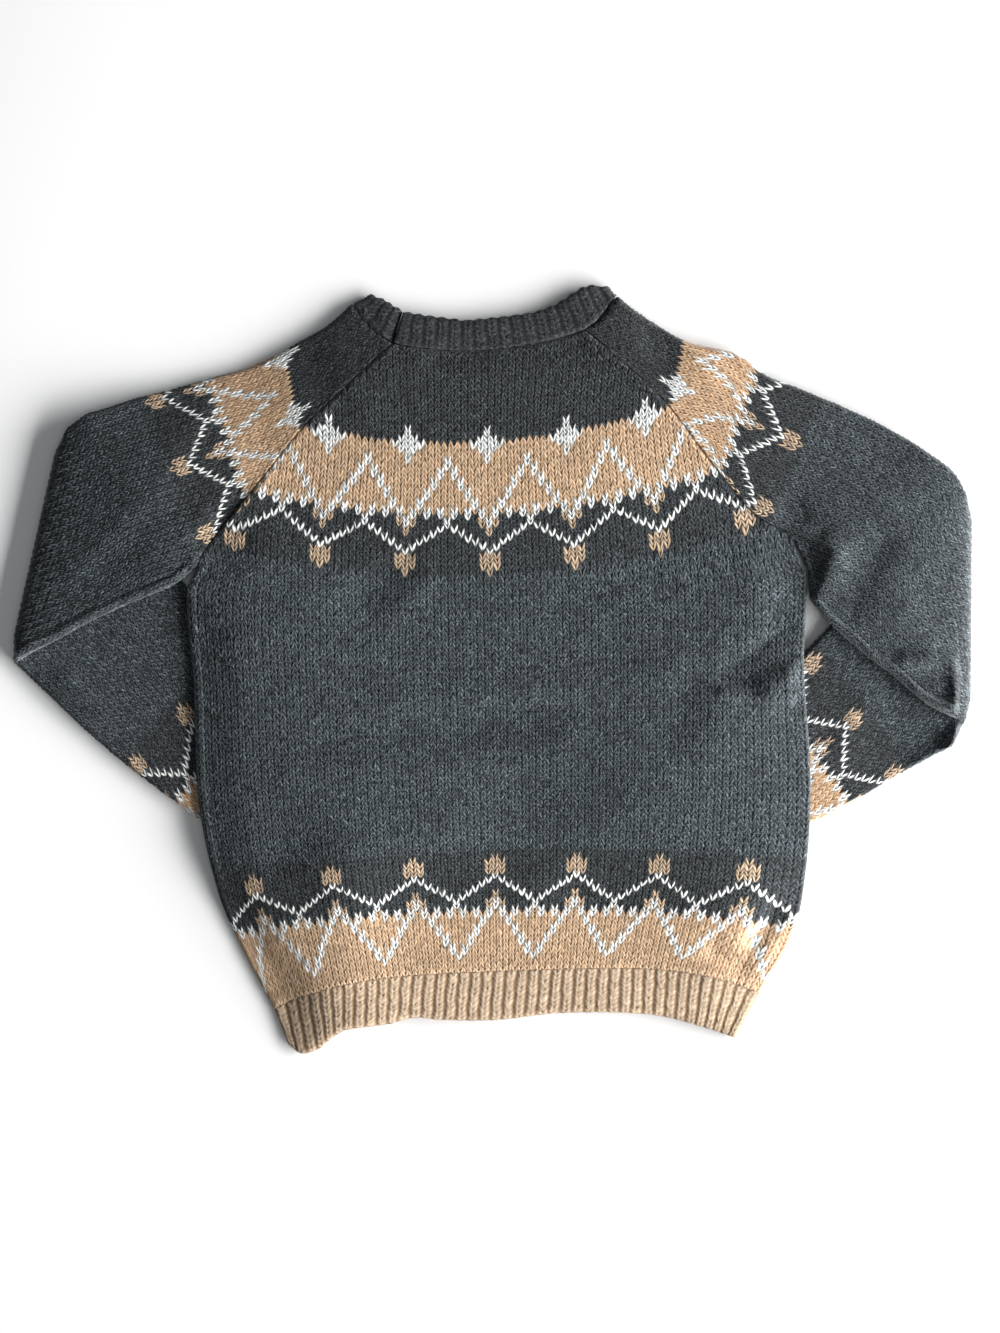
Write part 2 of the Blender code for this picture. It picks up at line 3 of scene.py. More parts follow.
import bmesh
import bpy
import numpy as np
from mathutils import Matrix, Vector


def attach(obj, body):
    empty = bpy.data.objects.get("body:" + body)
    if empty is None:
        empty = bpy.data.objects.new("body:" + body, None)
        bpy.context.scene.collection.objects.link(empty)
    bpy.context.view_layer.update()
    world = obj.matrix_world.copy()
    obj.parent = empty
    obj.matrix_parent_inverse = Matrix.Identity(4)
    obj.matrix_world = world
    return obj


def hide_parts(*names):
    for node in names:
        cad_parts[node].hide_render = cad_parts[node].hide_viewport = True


# Child's raglan jumper laid flat with its back up: stranded yoke, hem and sleeve bands in tan and
# white on charcoal marl. Lengths are in millimetres until the meshes are made.

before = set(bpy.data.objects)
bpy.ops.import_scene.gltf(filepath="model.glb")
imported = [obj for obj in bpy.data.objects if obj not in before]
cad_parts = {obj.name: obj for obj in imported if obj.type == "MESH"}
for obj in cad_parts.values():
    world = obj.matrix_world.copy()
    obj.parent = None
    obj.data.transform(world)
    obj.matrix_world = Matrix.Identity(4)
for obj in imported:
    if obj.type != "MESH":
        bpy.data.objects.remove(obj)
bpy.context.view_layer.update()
random = np.random.default_rng(7)

cloth = {
    "wall": 2.6,  # thickness of the knit
    "gap": 0.3,  # between two layers, and at seams
    "air": 2.4,  # how far the upper wall stands off the lower one
    "edgeRadius": 2.4,
    "sideFade": 34.0,  # distance from an edge at which the upper wall has risen fully
    "creaseFade": 11.0,  # and at which a crease reaches its height, on the panels and on the arms
    "sleeveCreaseFade": 5.0,
    "turnFade": 80.0,
    "press": 0.42,  # share by which the walls are thinner at the left side, on the arm
    "pressFade": 30.0,
    "bedRamp": 38.0,  # cloth that crosses a forearm comes down over this distance
    "bridge": 88.0,  # and the upper wall, which the lower one doesn't pull down, over this
    "bedMargin": 11.0,
    "bedRound": 9.0,
}
coursePitch = 2.9  # of the panels and the sleeves' upper ends
raglanShare = 0.857  # of the way to the middle of a seam's fade, at the raglans' upper ends
layers = 2 * cloth["wall"] + cloth["gap"]
tubeRadius = layers / 2
hingeHeight = layers + cloth["gap"] / 2

body = {
    "wales": 85,  # stitches across a panel, seven repeats of twelve and one more
    "backCourses": 128,
    "frontCourses": 121,
    "raglanCourse": 77,
    # course number, left x, left y, right x, right y, bow of the middle, flatness of the bow
    "courses": np.array([
        (0, -131, -205, 160.5, -195.5, 19, 4.0),
        (12, -153, -163, 181, -159, 13, 3.0),
        (24, -165, -133, 188, -124, 11.5, 2.2),
        (40, -176, -79, 191, -67, 3, 2.0),
        (60, -179, -8, 187, 3, -8, 2.0),
        (72, -183, 46, 189, 47, -22, 2.0),
        (77, -176, 62, 188, 62, -22, 2.0),
        (80, -173, 69, 179, 79, -26, 2.0),
        (84, -166, 79, 159, 91, -22, 2.0),
        (97, -139, 112, 131, 124, -19, 2.0),
        (109, -113, 145, 106, 157, -15, 2.0),
        (118, -88, 169, 86, 177, -11, 2.0),
        (128, -60, 195, 56, 203, -8, 2.0),
    ]),
    "frontTop": (121, -74, 190, 72, 194, -34, 2.6),
    # course number, x of the middle stitch, width of a stitch
    "waleLines": np.array([
        (0, 2.7, 3.62),
        (24, 1.8, 4.08),
        (60, 0.0, 4.27),
        (84, -1.2, 4.25),
        (109, -3.0, 3.95),
        (128, -2.1, 4.14),
    ]),
    "endPower": 6,  # how closely to the sides the stitches give way to fill the width
}

hem = {
    "ribs": 42,
    "courses": 10,
    "depth": 28.0,
    "seamGap": 0.03,
    "back": np.array([
        (-122.5, -226), (-115, -231.5), (-105, -229), (-97, -222.5), (-88, -216.5), (-81, -215.5),
        (-61, -213), (-46, -209.5), (-31, -211), (5, -211), (41, -207), (95, -208), (125, -215),
        (146, -222),
    ]),
    # share of the way along the seam and along the edge, where the ribs close up to the right
    "fan": np.array([(0, 0), (0.25, 0.25), (0.5, 0.511), (0.75, 0.778), (0.9, 0.925), (1, 1)]),
}
hem["front"] = hem["back"] + (0, 0.6)

# x, y at both ends, width and height: ridges above 0, troughs below
creases = np.array([
    # folds from the right side and the armpit
    (187, 1, 168, -12, 9, 5.5),
    (178, 14, 150, 1, 10, -4.5),
    (138, -13, 178, -19, 4, 2.8),
    (138, -7, 172, -12, 4, -2.4),
    (124, -1, 138, -1, 8, -1.4),
    (128, -15, 142, -16, 8, 0.8),
    (128, -44, 136, -30, 15, 1.3),
    (104, -40, 112, -26, 15, -1.3),
    (-60, 32, -40, 52, 9, 1.3),
    (-76, 44, -56, 64, 9, -1.0),
    # long shallow waves across the back
    (-60, -20, 110, -2, 10, 1.3),
    (-120, -62, 40, -50, 12, 1.2),
    (-100, -40, 90, -24, 9, -1.1),
    (-40, 30, 90, 22, 20, 0.9),
    (-20, -92, 120, -84, 14, 1.1),
    (-146, 14, -96, 46, 14, 0.9),
    (-20, -66, 46, -36, 16, 1.0),
    (30, -124, 96, -70, 18, 1.2),
    (40, 40, 96, 66, 13, -0.9),
    (-120, -110, -60, -84, 15, -0.9),
    # the hem's corners
    (-90, -118, -84, -205, 27, 4.6),
    (-52, -140, -44, -205, 50, 2.4),
    (157, -166, 170, -146, 6, -3.2),
    (164, -176, 178, -154, 8, 1.2),
    (134, -170, 148, -178, 7, -3.0),
    (144, -182, 156, -188, 8, 1.2),
    (-152, -148, -128, -186, 20, -1.6),
    # neck and shoulders
    (-30, 188, 50, 197, 8, -2.0),
    (70, 214, 88, 204, 13, 1.6),
    (94, 202, 106, 188, 9, -1.4),
    (116, 196, 130, 182, 13, 1.3),
    (-94, 196, -76, 160, 13, 0.9),
    (-112, 186, -96, 158, 11, -0.8),
    # sleeves
    (180, 96, 194, 82, 8, -3.8),
    (190, 84, 204, 70, 8, 3.0),
    (200, 50, 206, 66, 9, 1.4),
    (213, 40, 232, 72, 11, -2.2),
    (232, 34, 250, 70, 15, 1.6),
    (248, 28, 262, 14, 11, 2.2),
    (281, -4, 280, -20, 7, 6.4),
    (248, 6, 274, 3, 5, 3.4),
    (274, -23, 254, -14, 4, 3.4),
    (262, -9, 270, -12, 6, -4.4),
    (236, 96, 258, 120, 12, 0.9),
    (-250, 60, -190, 122, 8, 0.9),
    (-258, 36, -176, 104, 8, -0.8),
    (-236, 96, -176, 150, 10, 0.8),
])
forearmCreases = np.array([
    (-256, -8, -236, -26, 9, 1.7),
    (280, -37, 275, -47, 4, 5.5),
    (275, -47, 256, -57, 4.5, 4.5),
    (224, -16, 212, -48, 10, 1.2),
])


# curves and heights
def smooth(x):
    x = np.clip(x, 0, 1)
    return x * x * (3 - 2 * x)


def curve(keys, values, at):
    # smooth curve through values at the given rising keys
    keys, values, at = np.asarray(keys, float), np.asarray(values, float), np.asarray(at, float)
    last = len(keys) - 1
    i = np.clip(np.searchsorted(keys, at, "right") - 1, 0, last - 1)

    def slope(k):
        low, high = np.maximum(0, k - 1), np.minimum(last, k + 1)
        return (values[high] - values[low]) / (keys[high] - keys[low])

    span = keys[i + 1] - keys[i]
    x = (at - keys[i]) / span
    return (
        (2 * x**3 - 3 * x**2 + 1) * values[i]
        + (x**3 - 2 * x**2 + x) * span * slope(i)
        + (3 * x**2 - 2 * x**3) * values[i + 1]
        + (x**3 - x**2) * span * slope(i + 1)
    )


def lengthsOf(points):
    steps = np.hypot(*np.diff(np.asarray(points, float), axis=0).T)
    return np.concatenate([[0.0], np.cumsum(steps)])


def along(points, at):
    # point at a distance along a smooth line, which runs on straight past both ends
    points = np.asarray(points, float)
    lengths = lengthsOf(points)
    inside = np.clip(at, 0, lengths[-1])
    found = np.stack([curve(lengths, points[:, k], inside) for k in (0, 1)], axis=-1)
    first = (points[1] - points[0]) / lengths[1]
    end = (points[-1] - points[-2]) / (lengths[-1] - lengths[-2])
    over = np.asarray(at, float) - inside
    return found + over[..., None] * np.where(over[..., None] < 0, first, end)


def bodyEdges(course, table):
    return [curve(table[:, 0], table[:, k], course) for k in range(1, 7)]


def bodyPoint(share, course, table):
    leftX, leftY, rightX, rightY, bow, flatness = bodyEdges(course, table)
    lift = bow * (1 - np.abs(2 * share - 1) ** flatness)
    return leftX + (rightX - leftX) * share, leftY + (rightY - leftY) * share + lift


def panelTable(side):
    table = body["courses"]
    if side == "back":
        return table
    kept = table[table[:, 0] < body["frontCourses"] - 4]
    return np.vstack([kept, body["frontTop"]])


def outside(x, y, corners):
    # distance outside a convex outline with softened corners, negative inside it
    centre = corners.mean(axis=0)
    total = np.zeros(np.shape(x))
    for a, b in zip(corners, np.roll(corners, -1, axis=0)):
        normal = np.array([b[1] - a[1], a[0] - b[0]]) / math.dist(a, b)
        if normal @ (centre - a) > 0:
            normal = -normal
        distance = normal[0] * (x - a[0]) + normal[1] * (y - a[1])
        total += np.exp(np.clip(distance / cloth["bedRound"], -50, 60))
    return cloth["bedRound"] * np.log(total)


def bedHeight(x, y, ramp=cloth["bedRamp"]):
    nearest = np.minimum(*[outside(x, y, sleeve["lies"]) for sleeve in (leftSleeve, rightSleeve)])
    return (layers + cloth["gap"]) * smooth(1 - (nearest - cloth["bedMargin"]) / ramp)


def creaseHeight(x, y, table):
    total = np.zeros(np.shape(x))
    for x0, y0, x1, y1, width, height in table:
        run = np.array([x1 - x0, y1 - y0])
        share = np.clip(((x - x0) * run[0] + (y - y0) * run[1]) / (run @ run), 0, 1)
        distance = np.hypot(x - x0 - run[0] * share, y - y0 - run[1] * share)
        total += height * np.exp(-((distance / width) ** 2))
    return total


def bridgeHeight(x, y):
    return bedHeight(x, y, cloth["bridge"]) - bedHeight(x, y)


def airHeight(x, y, fade, distance, bridge, creaseFade=cloth["creaseFade"]):
    # how far the upper wall stands off the lower one, at a distance from the nearest seam or fold
    crease = creaseHeight(x, y, creases) * smooth(distance / creaseFade)
    return np.maximum(0, (cloth["air"] + bridge) * fade + crease)


def edgeDrop(distance):
    radius = cloth["edgeRadius"]
    inside = np.clip(radius - distance, 0, radius)
    return radius - np.sqrt(radius**2 - inside**2)


def seamFade(across):
    return smooth(np.minimum(across, 1 - across) * 3.2)


# The sleeves in plan. Forearm and cuff rows are outer x, outer y, inner x, inner y
leftSleeve = {
    "outwards": -1,
    "underarm": np.array([
        (-177.5, 60.5), (-190, 50), (-216, 39), (-242, 27), (-265, 14), (-285.5, 3),
    ]),
    "shoulder": np.array([
        (-84, 219), (-99, 206), (-118, 195), (-145, 181), (-167, 175), (-187, 169),
        (-210, 163), (-228, 157), (-242, 152), (-254, 143),
    ]),
    "armpit": np.array([(-177.5, 60.5)]),
    "neckBack": np.array([(-69, 201), (-78, 210)]),
    "neckFront": np.array([(-80, 206)]),
    "hinge": np.array([(-285.5, 3), (-254, 143)]),
    "forearm": np.array([
        (-285.5, 3, -254, 143), (-268, -15, -231, 109), (-247, -35, -205, 73),
        (-218, -60, -154, 17), (-180, -88, -124, -26), (-158, -103, -107, -48),
    ]),
    "cuff": np.array([(-158, -103, -107, -48), (-134, -120, -88, -69)]),
    # course, distance down the shoulder edge, direction across the sleeve, width of a stitch
    "rows": np.array([
        (79.5, 145.0, 0.350, -0.937, 3.60),
        (84, 133.8, 0.360, -0.933, 3.60),
        (90, 115.9, 0.345, -0.939, 3.45),
        (109.5, 48.2, 0.200, -0.980, 2.95),
        (126, 0.0, 0.300, -0.954, 2.90),
        (134, -23.2, 0.300, -0.954, 2.90),
    ]),
    "yokeDot": 1.6,  # wales from the shoulder edge to a dot of the yoke, positive on the back
    "cuffDot": -16,  # and to a dot above the cuff
}
rightSleeve = {
    "outwards": 1,
    "underarm": np.array([
        (190.8, 42), (199, 30), (222, 9), (238, -3), (258, -20), (271, -28), (282, -33),
    ]),
    "shoulder": np.array([
        (75, 224), (85, 216), (95, 209), (118, 196), (147, 189), (165, 176), (183, 169),
        (205, 160), (225, 151), (242, 142), (261, 130), (276, 117), (283, 104),
    ]),
    "armpit": np.array([(190.8, 42), (189.7, 61)]),
    "neckBack": np.array([(63, 208), (70, 217)]),
    "neckFront": np.array([(74, 211)]),
    "hinge": np.array([(282, -33), (283, 104)]),
    "forearm": np.array([
        (282, -33, 283, 104), (276, -46, 262, 86), (266, -52, 236, 61), (243, -65, 190, 12),
        (205, -87, 163, -12), (180, -97, 135, -37),
    ]),
    "cuff": np.array([(180, -97, 135, -37), (154, -108, 112, -53)]),
    "rows": np.array([
        (69, 178.0, -0.378, -0.926, 3.60),
        (84, 133.2, -0.388, -0.922, 3.60),
        (90, 113.2, -0.360, -0.933, 3.45),
        (109.5, 47.2, -0.223, -0.975, 3.25),
        (126, 0.0, -0.300, -0.954, 2.90),
        (134, -23.2, -0.300, -0.954, 2.90),
    ]),
    "yokeDot": 9.2,
    "cuffDot": -3,
}
sleeveKnit = {
    "lastCourse": 134,
    "coursePitch": 2.95,
    "bandCourses": 24,  # from the cuff to the dots
    "cuffWalePitch": 3.47,
    "turnRoom": 25.0,  # stretch on each side of the elbow that gives way round the turn
    "turnEnd": 0.45,
    "turnTaper": 8,
    "openWidth": 400.0,  # above the armpit the raglan ends a row, not the underarm
    "leastWidth": 32.0,
}
farAway = 99.0  # a distance at which no edge shows in the cloth

for sleeve in (leftSleeve, rightSleeve):
    rows = sleeve["forearm"]
    sleeve["lies"] = np.array([
        rows[0, :2], rows[-2, :2], sleeve["cuff"][1, :2],
        sleeve["cuff"][1, 2:], rows[-3, 2:], rows[0, 2:],
    ], float)


# One row of the chart is read outwards from a dot's wale: d0 to d6. G ground, T tan, W white
yokeChart = [
    "TGGGGGG", "TTGGGGG", "TTGGGGG", "TTGGGGG", "WGGGGGG", "GWGGGGG", "GGWGGGG", "GGGWGGG",
    "TGGGWGG", "TGGGGWG", "WTGGGGW", "WTGGGGW", "TWGWGWT", "TWTWTWT", "TTWTTTT", "TTWTTTT",
    "TTTWTTT", "TTTWTTT", "TTTTWTT", "TTTTWTT", "TTTTTWT", "TTTTTWT", "TTTTTTW", "WTTTTTW",
    "WTTTTTT", "WWTTTTT", "WWWTTTT", "WWGGGGG", "WGGGGGG", "WGGGGGG",
]
yarns = {
    # linear colour, marl, loft of the stitch
    "G": ((0.055, 0.067, 0.074), 1.0, 0.0),
    "D": ((0.037, 0.043, 0.047), 1.0, 0.0),
    "N": ((0.022, 0.026, 0.029), 1.0, 0.0),
    "T": ((0.600, 0.440, 0.298), 0.06, 0.08),
    "R": ((0.460, 0.355, 0.255), 0.08, 0.0),
    "W": ((0.860, 0.875, 0.865), 0.04, 0.30),
}
yokeStart = 82  # course of the yoke dots' lowest row
band = {"repeat": 12, "plainEnd": 30, "charted": 26, "tan": 3, "edge": 27}


def bandYarn(distance, row):
    return yokeChart[row][distance] if 0 <= row < len(yokeChart) else "G"


def yarnTable(wales, courses, firstCourse, dotOf, hemCourse):
    # yarn letter of every stitch; dotOf gives the dots' wale for the lower and the upper band
    letters = np.full((wales, courses), "G")
    for j in range(courses):
        course = firstCourse + j
        low, high = course - hemCourse, course - yokeStart
        for i in range(wales):
            dot = dotOf[0] if low < band["plainEnd"] else dotOf[1]
            away = (i - dot) % band["repeat"]
            distance = min(away, band["repeat"] - away)
            letter = "G"
            if low < band["charted"]:
                # the lower band is the yoke's, upside down, on a few tan courses
                letter = "T" if low < band["tan"] else bandYarn(distance, band["charted"] - 1 - low)
            elif 0 <= high:
                letter = bandYarn(distance, high)
            if letter == "G" and (low < band["edge"] or 0 <= high):
                letter = "D"
            letters[i, j] = letter
    return letters


stitch = {
    "slant": 1.25,  # courses that a leg climbs from the middle of its wale to the edge
    "height": 1.0,
    "wanderAcross": 0.05,  # uneven places, in wales and courses
    "wanderAlong": 0.15,
    "uneven": 0.12,  # uneven heights
    "shallow": 0.3,  # uneven depth of the holes
    "spread": 0.14,  # white stitches spread over the courses next to them
}
# columns within a wale, with the height of the yarn on them in the gap and on the leg
fineWale = {
    "places": np.array([0.0, 0.14, 0.36, 0.5, 0.64, 0.86]),
    "gap": np.array([0.18, 0.24, 0.18, -0.34, 0.18, 0.24]),
    "leg": np.array([0.54, 1.0, 0.98, 0.54, 0.98, 1.0]),
}
plainWale = {
    "places": np.array([0.0, 0.25, 0.5, 0.75]),
    "gap": np.array([0.20, 0.16, -0.50, 0.16]),
    "leg": np.array([0.56, 1.10, 0.50, 1.10]),
}
ribWale = {
    "places": np.array([0.0, 0.11, 0.22, 0.36, 0.5, 0.64, 0.78, 0.89]),
    "gap": np.array([0.14, 0.26, 0.40, 0.55, 0.12, 0.55, 0.40, 0.26]),
    "leg": np.array([0.24, 0.42, 0.90, 1.10, 0.60, 1.10, 0.90, 0.42]),
}
softRibWale = {
    "places": ribWale["places"],
    "gap": np.array([0.26, 0.30, 0.34, 0.45, 0.05, 0.45, 0.34, 0.30]),
    "leg": np.array([0.38, 0.50, 0.86, 1.00, 0.62, 1.00, 0.86, 0.50]),
}


def between(grid, across, along):
    # value at half wales and at courses, straight between the grid's values
    i = np.clip(np.floor(across).astype(int), 0, grid.shape[0] - 2)
    j = np.clip(np.floor(along).astype(int), 0, grid.shape[1] - 2)
    u, v = np.clip(across - i, 0, 1), np.clip(along - j, 0, 1)
    low = grid[i, j] * (1 - u) + grid[i + 1, j] * u
    return low * (1 - v) + (grid[i, j + 1] * (1 - u) + grid[i + 1, j + 1] * u) * v


def knitSheet(name, wales, courses, firstCourse, wale, slant, place, letters, past=None):
    # place(column, course, height, outer) gives x, y, z in mm; past(column, course) says what lies
    # past the cloth's end or its seam, where the stitches close up to a line
    columns = len(wale["places"])
    perCell = columns // 2  # courses in a cell whose outer face is divided into columns x columns
    cells = math.ceil(courses / perCell)
    bm = bmesh.new()
    bmesh.ops.create_grid(bm, x_segments=wales, y_segments=cells, size=0.5)
    made = bmesh.ops.extrude_face_region(bm, geom=bm.faces[:])
    raised = [v for v in made["geom"] if isinstance(v, bmesh.types.BMVert)]
    bmesh.ops.translate(bm, vec=(0, 0, 1), verts=raised)
    upper = [e for e in bm.edges if e.verts[0].co.z > 0.5 and e.verts[1].co.z > 0.5]
    bmesh.ops.subdivide_edges(bm, edges=upper, cuts=columns - 1, use_grid_fill=True)
    mesh = bpy.data.meshes.new(name)
    bm.to_mesh(mesh)
    bm.free()

    count = len(mesh.vertices)
    flat = np.empty(count * 3, np.float32)
    mesh.vertices.foreach_get("co", flat)
    flat = flat.reshape(-1, 3)
    outer = flat[:, 2] > 0.5
    columnIndex = np.rint((flat[:, 0] + 0.5) * wales * columns).astype(int)
    rowIndex = np.rint((flat[:, 1] + 0.5) * cells * columns).astype(int)
    waleIndex, sub = np.divmod(columnIndex, columns)
    column = waleIndex + wale["places"][sub]
    course = firstCourse + rowIndex / 2
    onLeg = rowIndex % 2 == 1
    height = np.where(onLeg, wale["leg"][sub], wale["gap"][sub])

    # loft of the white stitches, shared by the two wales at their edge
    at = np.clip(rowIndex // 2, 0, letters.shape[1] - 1)
    letter = letters[np.clip(waleIndex, 0, wales - 1), at]
    loft = np.zeros(count)
    for key, (_, _, extra) in yarns.items():
        loft[letter == key] = extra
    height = height + loft * onLeg * (wale["leg"][sub] > 0.8)

    wobble = random.normal(size=(3, 2 * wales + 2, cells * perCell + 2))
    inside = (column > 0.01) & (column < wales - 0.01)
    free = np.ones(count, bool) if past is None else ~past(column, course)
    inside = inside & free & (rowIndex > 0) & (rowIndex < cells * columns)
    moveX = between(wobble[0], 2 * column, rowIndex / 2) * inside * stitch["wanderAcross"]
    moveY = between(wobble[1], 2 * column, rowIndex / 2) * inside * stitch["wanderAlong"]
    white = np.pad((letters == "W").astype(float), ((1, 1), (1, 1)))
    here, course0 = np.clip(waleIndex, 0, wales - 1) + 1, at + 1
    above, below = white[here, course0], white[here, course0 - 1]
    besideAbove, besideBelow = white[here - 1, course0], white[here - 1, course0 - 1]
    above = np.where(sub == 0, np.maximum(above, besideAbove), above)
    below = np.where(sub == 0, np.maximum(below, besideBelow), below)
    moveY = moveY + (below - above) * inside * ~onLeg * stitch["spread"]
    stitchHeight = wobble[2, waleIndex, np.clip(rowIndex // 2, 0, cells * perCell)]
    height = height * (1 + stitchHeight * onLeg * stitch["uneven"])
    hole = ~onLeg & (wale["places"][sub] == 0.5)
    height = height + np.abs(stitchHeight) * hole * stitch["shallow"]
    height = np.where(free, height, 0.3)
    sheared = course + slant * (np.abs(2 * wale["places"][sub] - 1) - 0.5) * free
    x, y, z = place(
        np.where(outer, column + moveX, column),
        np.where(outer, sheared + moveY, course),
        np.where(outer, height, 0),
        outer,
    )
    points = np.stack([x, y, z], axis=1) / 1000
    mesh.vertices.foreach_set("co", points.astype(np.float32).ravel())
    # where both sides of a tube meet, it has no walls inside
    edges = [
        {(rowIndex[k], outer[k]): k for k in np.flatnonzero(columnIndex == end)}
        for end in (0, wales * columns)
    ]
    joined = set()
    for key, k in edges[0].items():
        other = edges[1][key]
        if np.abs(points[k] - points[other]).max() < 1e-6:
            joined.update((k, other))

    def giveAttribute(title, kind, domain, field, values):
        data = mesh.attributes.new(title, kind, domain).data
        data.foreach_set(field, values.astype(np.float32).ravel())

    # the third value, the height, also sets where the gaps get painted shade
    values = np.stack([column, course, np.where(outer, height, 0.5)], axis=1)
    giveAttribute("stitch", "FLOAT_VECTOR", "POINT", "vector", values)

    # each face takes the yarn of the stitch that it lies in
    faces = len(mesh.polygons)
    starts, totals = np.empty(faces, np.int32), np.empty(faces, np.int32)
    mesh.polygons.foreach_get("loop_start", starts)
    mesh.polygons.foreach_get("loop_total", totals)
    corners = np.empty(len(mesh.loops), np.int32)
    mesh.loops.foreach_get("vertex_index", corners)
    meanColumn = np.add.reduceat(columnIndex[corners], starts) / totals / columns
    meanRow = np.add.reduceat(rowIndex[corners], starts) / totals / 2
    i = np.clip(meanColumn.astype(int), 0, wales - 1)
    j = np.clip(meanRow.astype(int), 0, letters.shape[1] - 1)
    faceLetter = letters[i, j]
    shade = random.normal(size=(wales, letters.shape[1]))[i, j]
    colour = np.ones((faces, 4), np.float32)
    for key, (tint, marl, _) in yarns.items():
        chosen = faceLetter == key
        colour[chosen, :3] = np.array(tint) * (1 + shade[chosen, None] * (0.05 + 0.09 * marl))
        colour[chosen, 3] = marl
    giveAttribute("yarn", "FLOAT_COLOR", "CORNER", "color", np.repeat(colour, totals, axis=0))
    # where a row's darker yarn runs behind its lighter stitches, their gaps take its colour,
    # painted darker than the yarn as shade; white stitches in tan rows take part of it as painted
    # shade alone
    charcoal, sand, white = (np.isin(letters, list(kinds)) for kinds in ("GDN", "TR", "W"))
    floatShadeMask = np.where(charcoal, 0.0, charcoal.any(axis=0) * 1.0)
    floatShadeMask = np.maximum(floatShadeMask, white * sand.any(axis=0) * 0.6)
    giveAttribute("floatsAndShade", "FLOAT", "CORNER", "value", np.repeat(floatShadeMask[i, j], totals))

    bm = bmesh.new()
    bm.from_mesh(mesh)
    walls = [face for face in bm.faces if all(v.index in joined for v in face.verts)]
    bmesh.ops.delete(bm, geom=walls, context="FACES_ONLY")
    bmesh.ops.remove_doubles(bm, verts=bm.verts, dist=2e-6)
    bmesh.ops.recalc_face_normals(bm, faces=bm.faces)
    bm.to_mesh(mesh)
    bm.free()
    mesh.shade_smooth()
    obj = bpy.data.objects.new(name, mesh)
    bpy.context.scene.collection.objects.link(obj)
    mesh.materials.append(knitMaterial)
    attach(obj, "root")
    print(name, len(mesh.polygons), "faces")
    return obj


# the yarn's material
def nodeGroup(name, inputs, outputs):
    group = bpy.data.node_groups.new(name, "ShaderNodeTree")
    for title, kind in inputs:
        group.interface.new_socket(title, in_out="INPUT", socket_type=kind)
    for title, kind in outputs:
        group.interface.new_socket(title, in_out="OUTPUT", socket_type=kind)
    start, end = group.nodes.new("NodeGroupInput"), group.nodes.new("NodeGroupOutput")
    return group, start.outputs, end.inputs


def feed(tree, socket, value):
    if hasattr(value, "links"):
        tree.links.new(value, socket)
    else:
        socket.default_value = value


def addNode(tree, kind, inputs, **settings):
    node = tree.nodes.new("ShaderNode" + kind)
    for name, value in settings.items():
        setattr(node, name, value)
    for key, value in inputs.items():
        feed(tree, node.inputs[key], value)
    return node


def mathNode(tree, operation, *values):
    return addNode(tree, "Math", dict(enumerate(values)), operation=operation).outputs[0]


def mixColour(tree, factor, first, second):
    inputs = {0: factor, 6: first, 7: second}
    return addNode(tree, "Mix", inputs, data_type="RGBA").outputs[2]


yarnLook = {
    "gapShade": 0.80,  # painted shade: how light the yarn is painted between the legs, where they shade the ground
    # colour of the darker strands that run behind, painted darker than the yarn as shade
    "shadedFloatColour": (0.016, 0.018, 0.020, 1),
    # how much lighter the painted gap shade is on marled yarn
    "gapMarl": 1.0,
    "fibreScale": 2300.0,
    "marlScale": 1000.0,
    "marlFrom": (0.38, 0.66),  # noise between which the yarn goes from dark to light
    "marlDark": 0.15,
    "marlLight": 3.0,
    "twists": 5.0,  # plies that show along a leg
    "deep": (0.05, 0.92),  # heights between which the painted gap shade gives way to the yarn
}


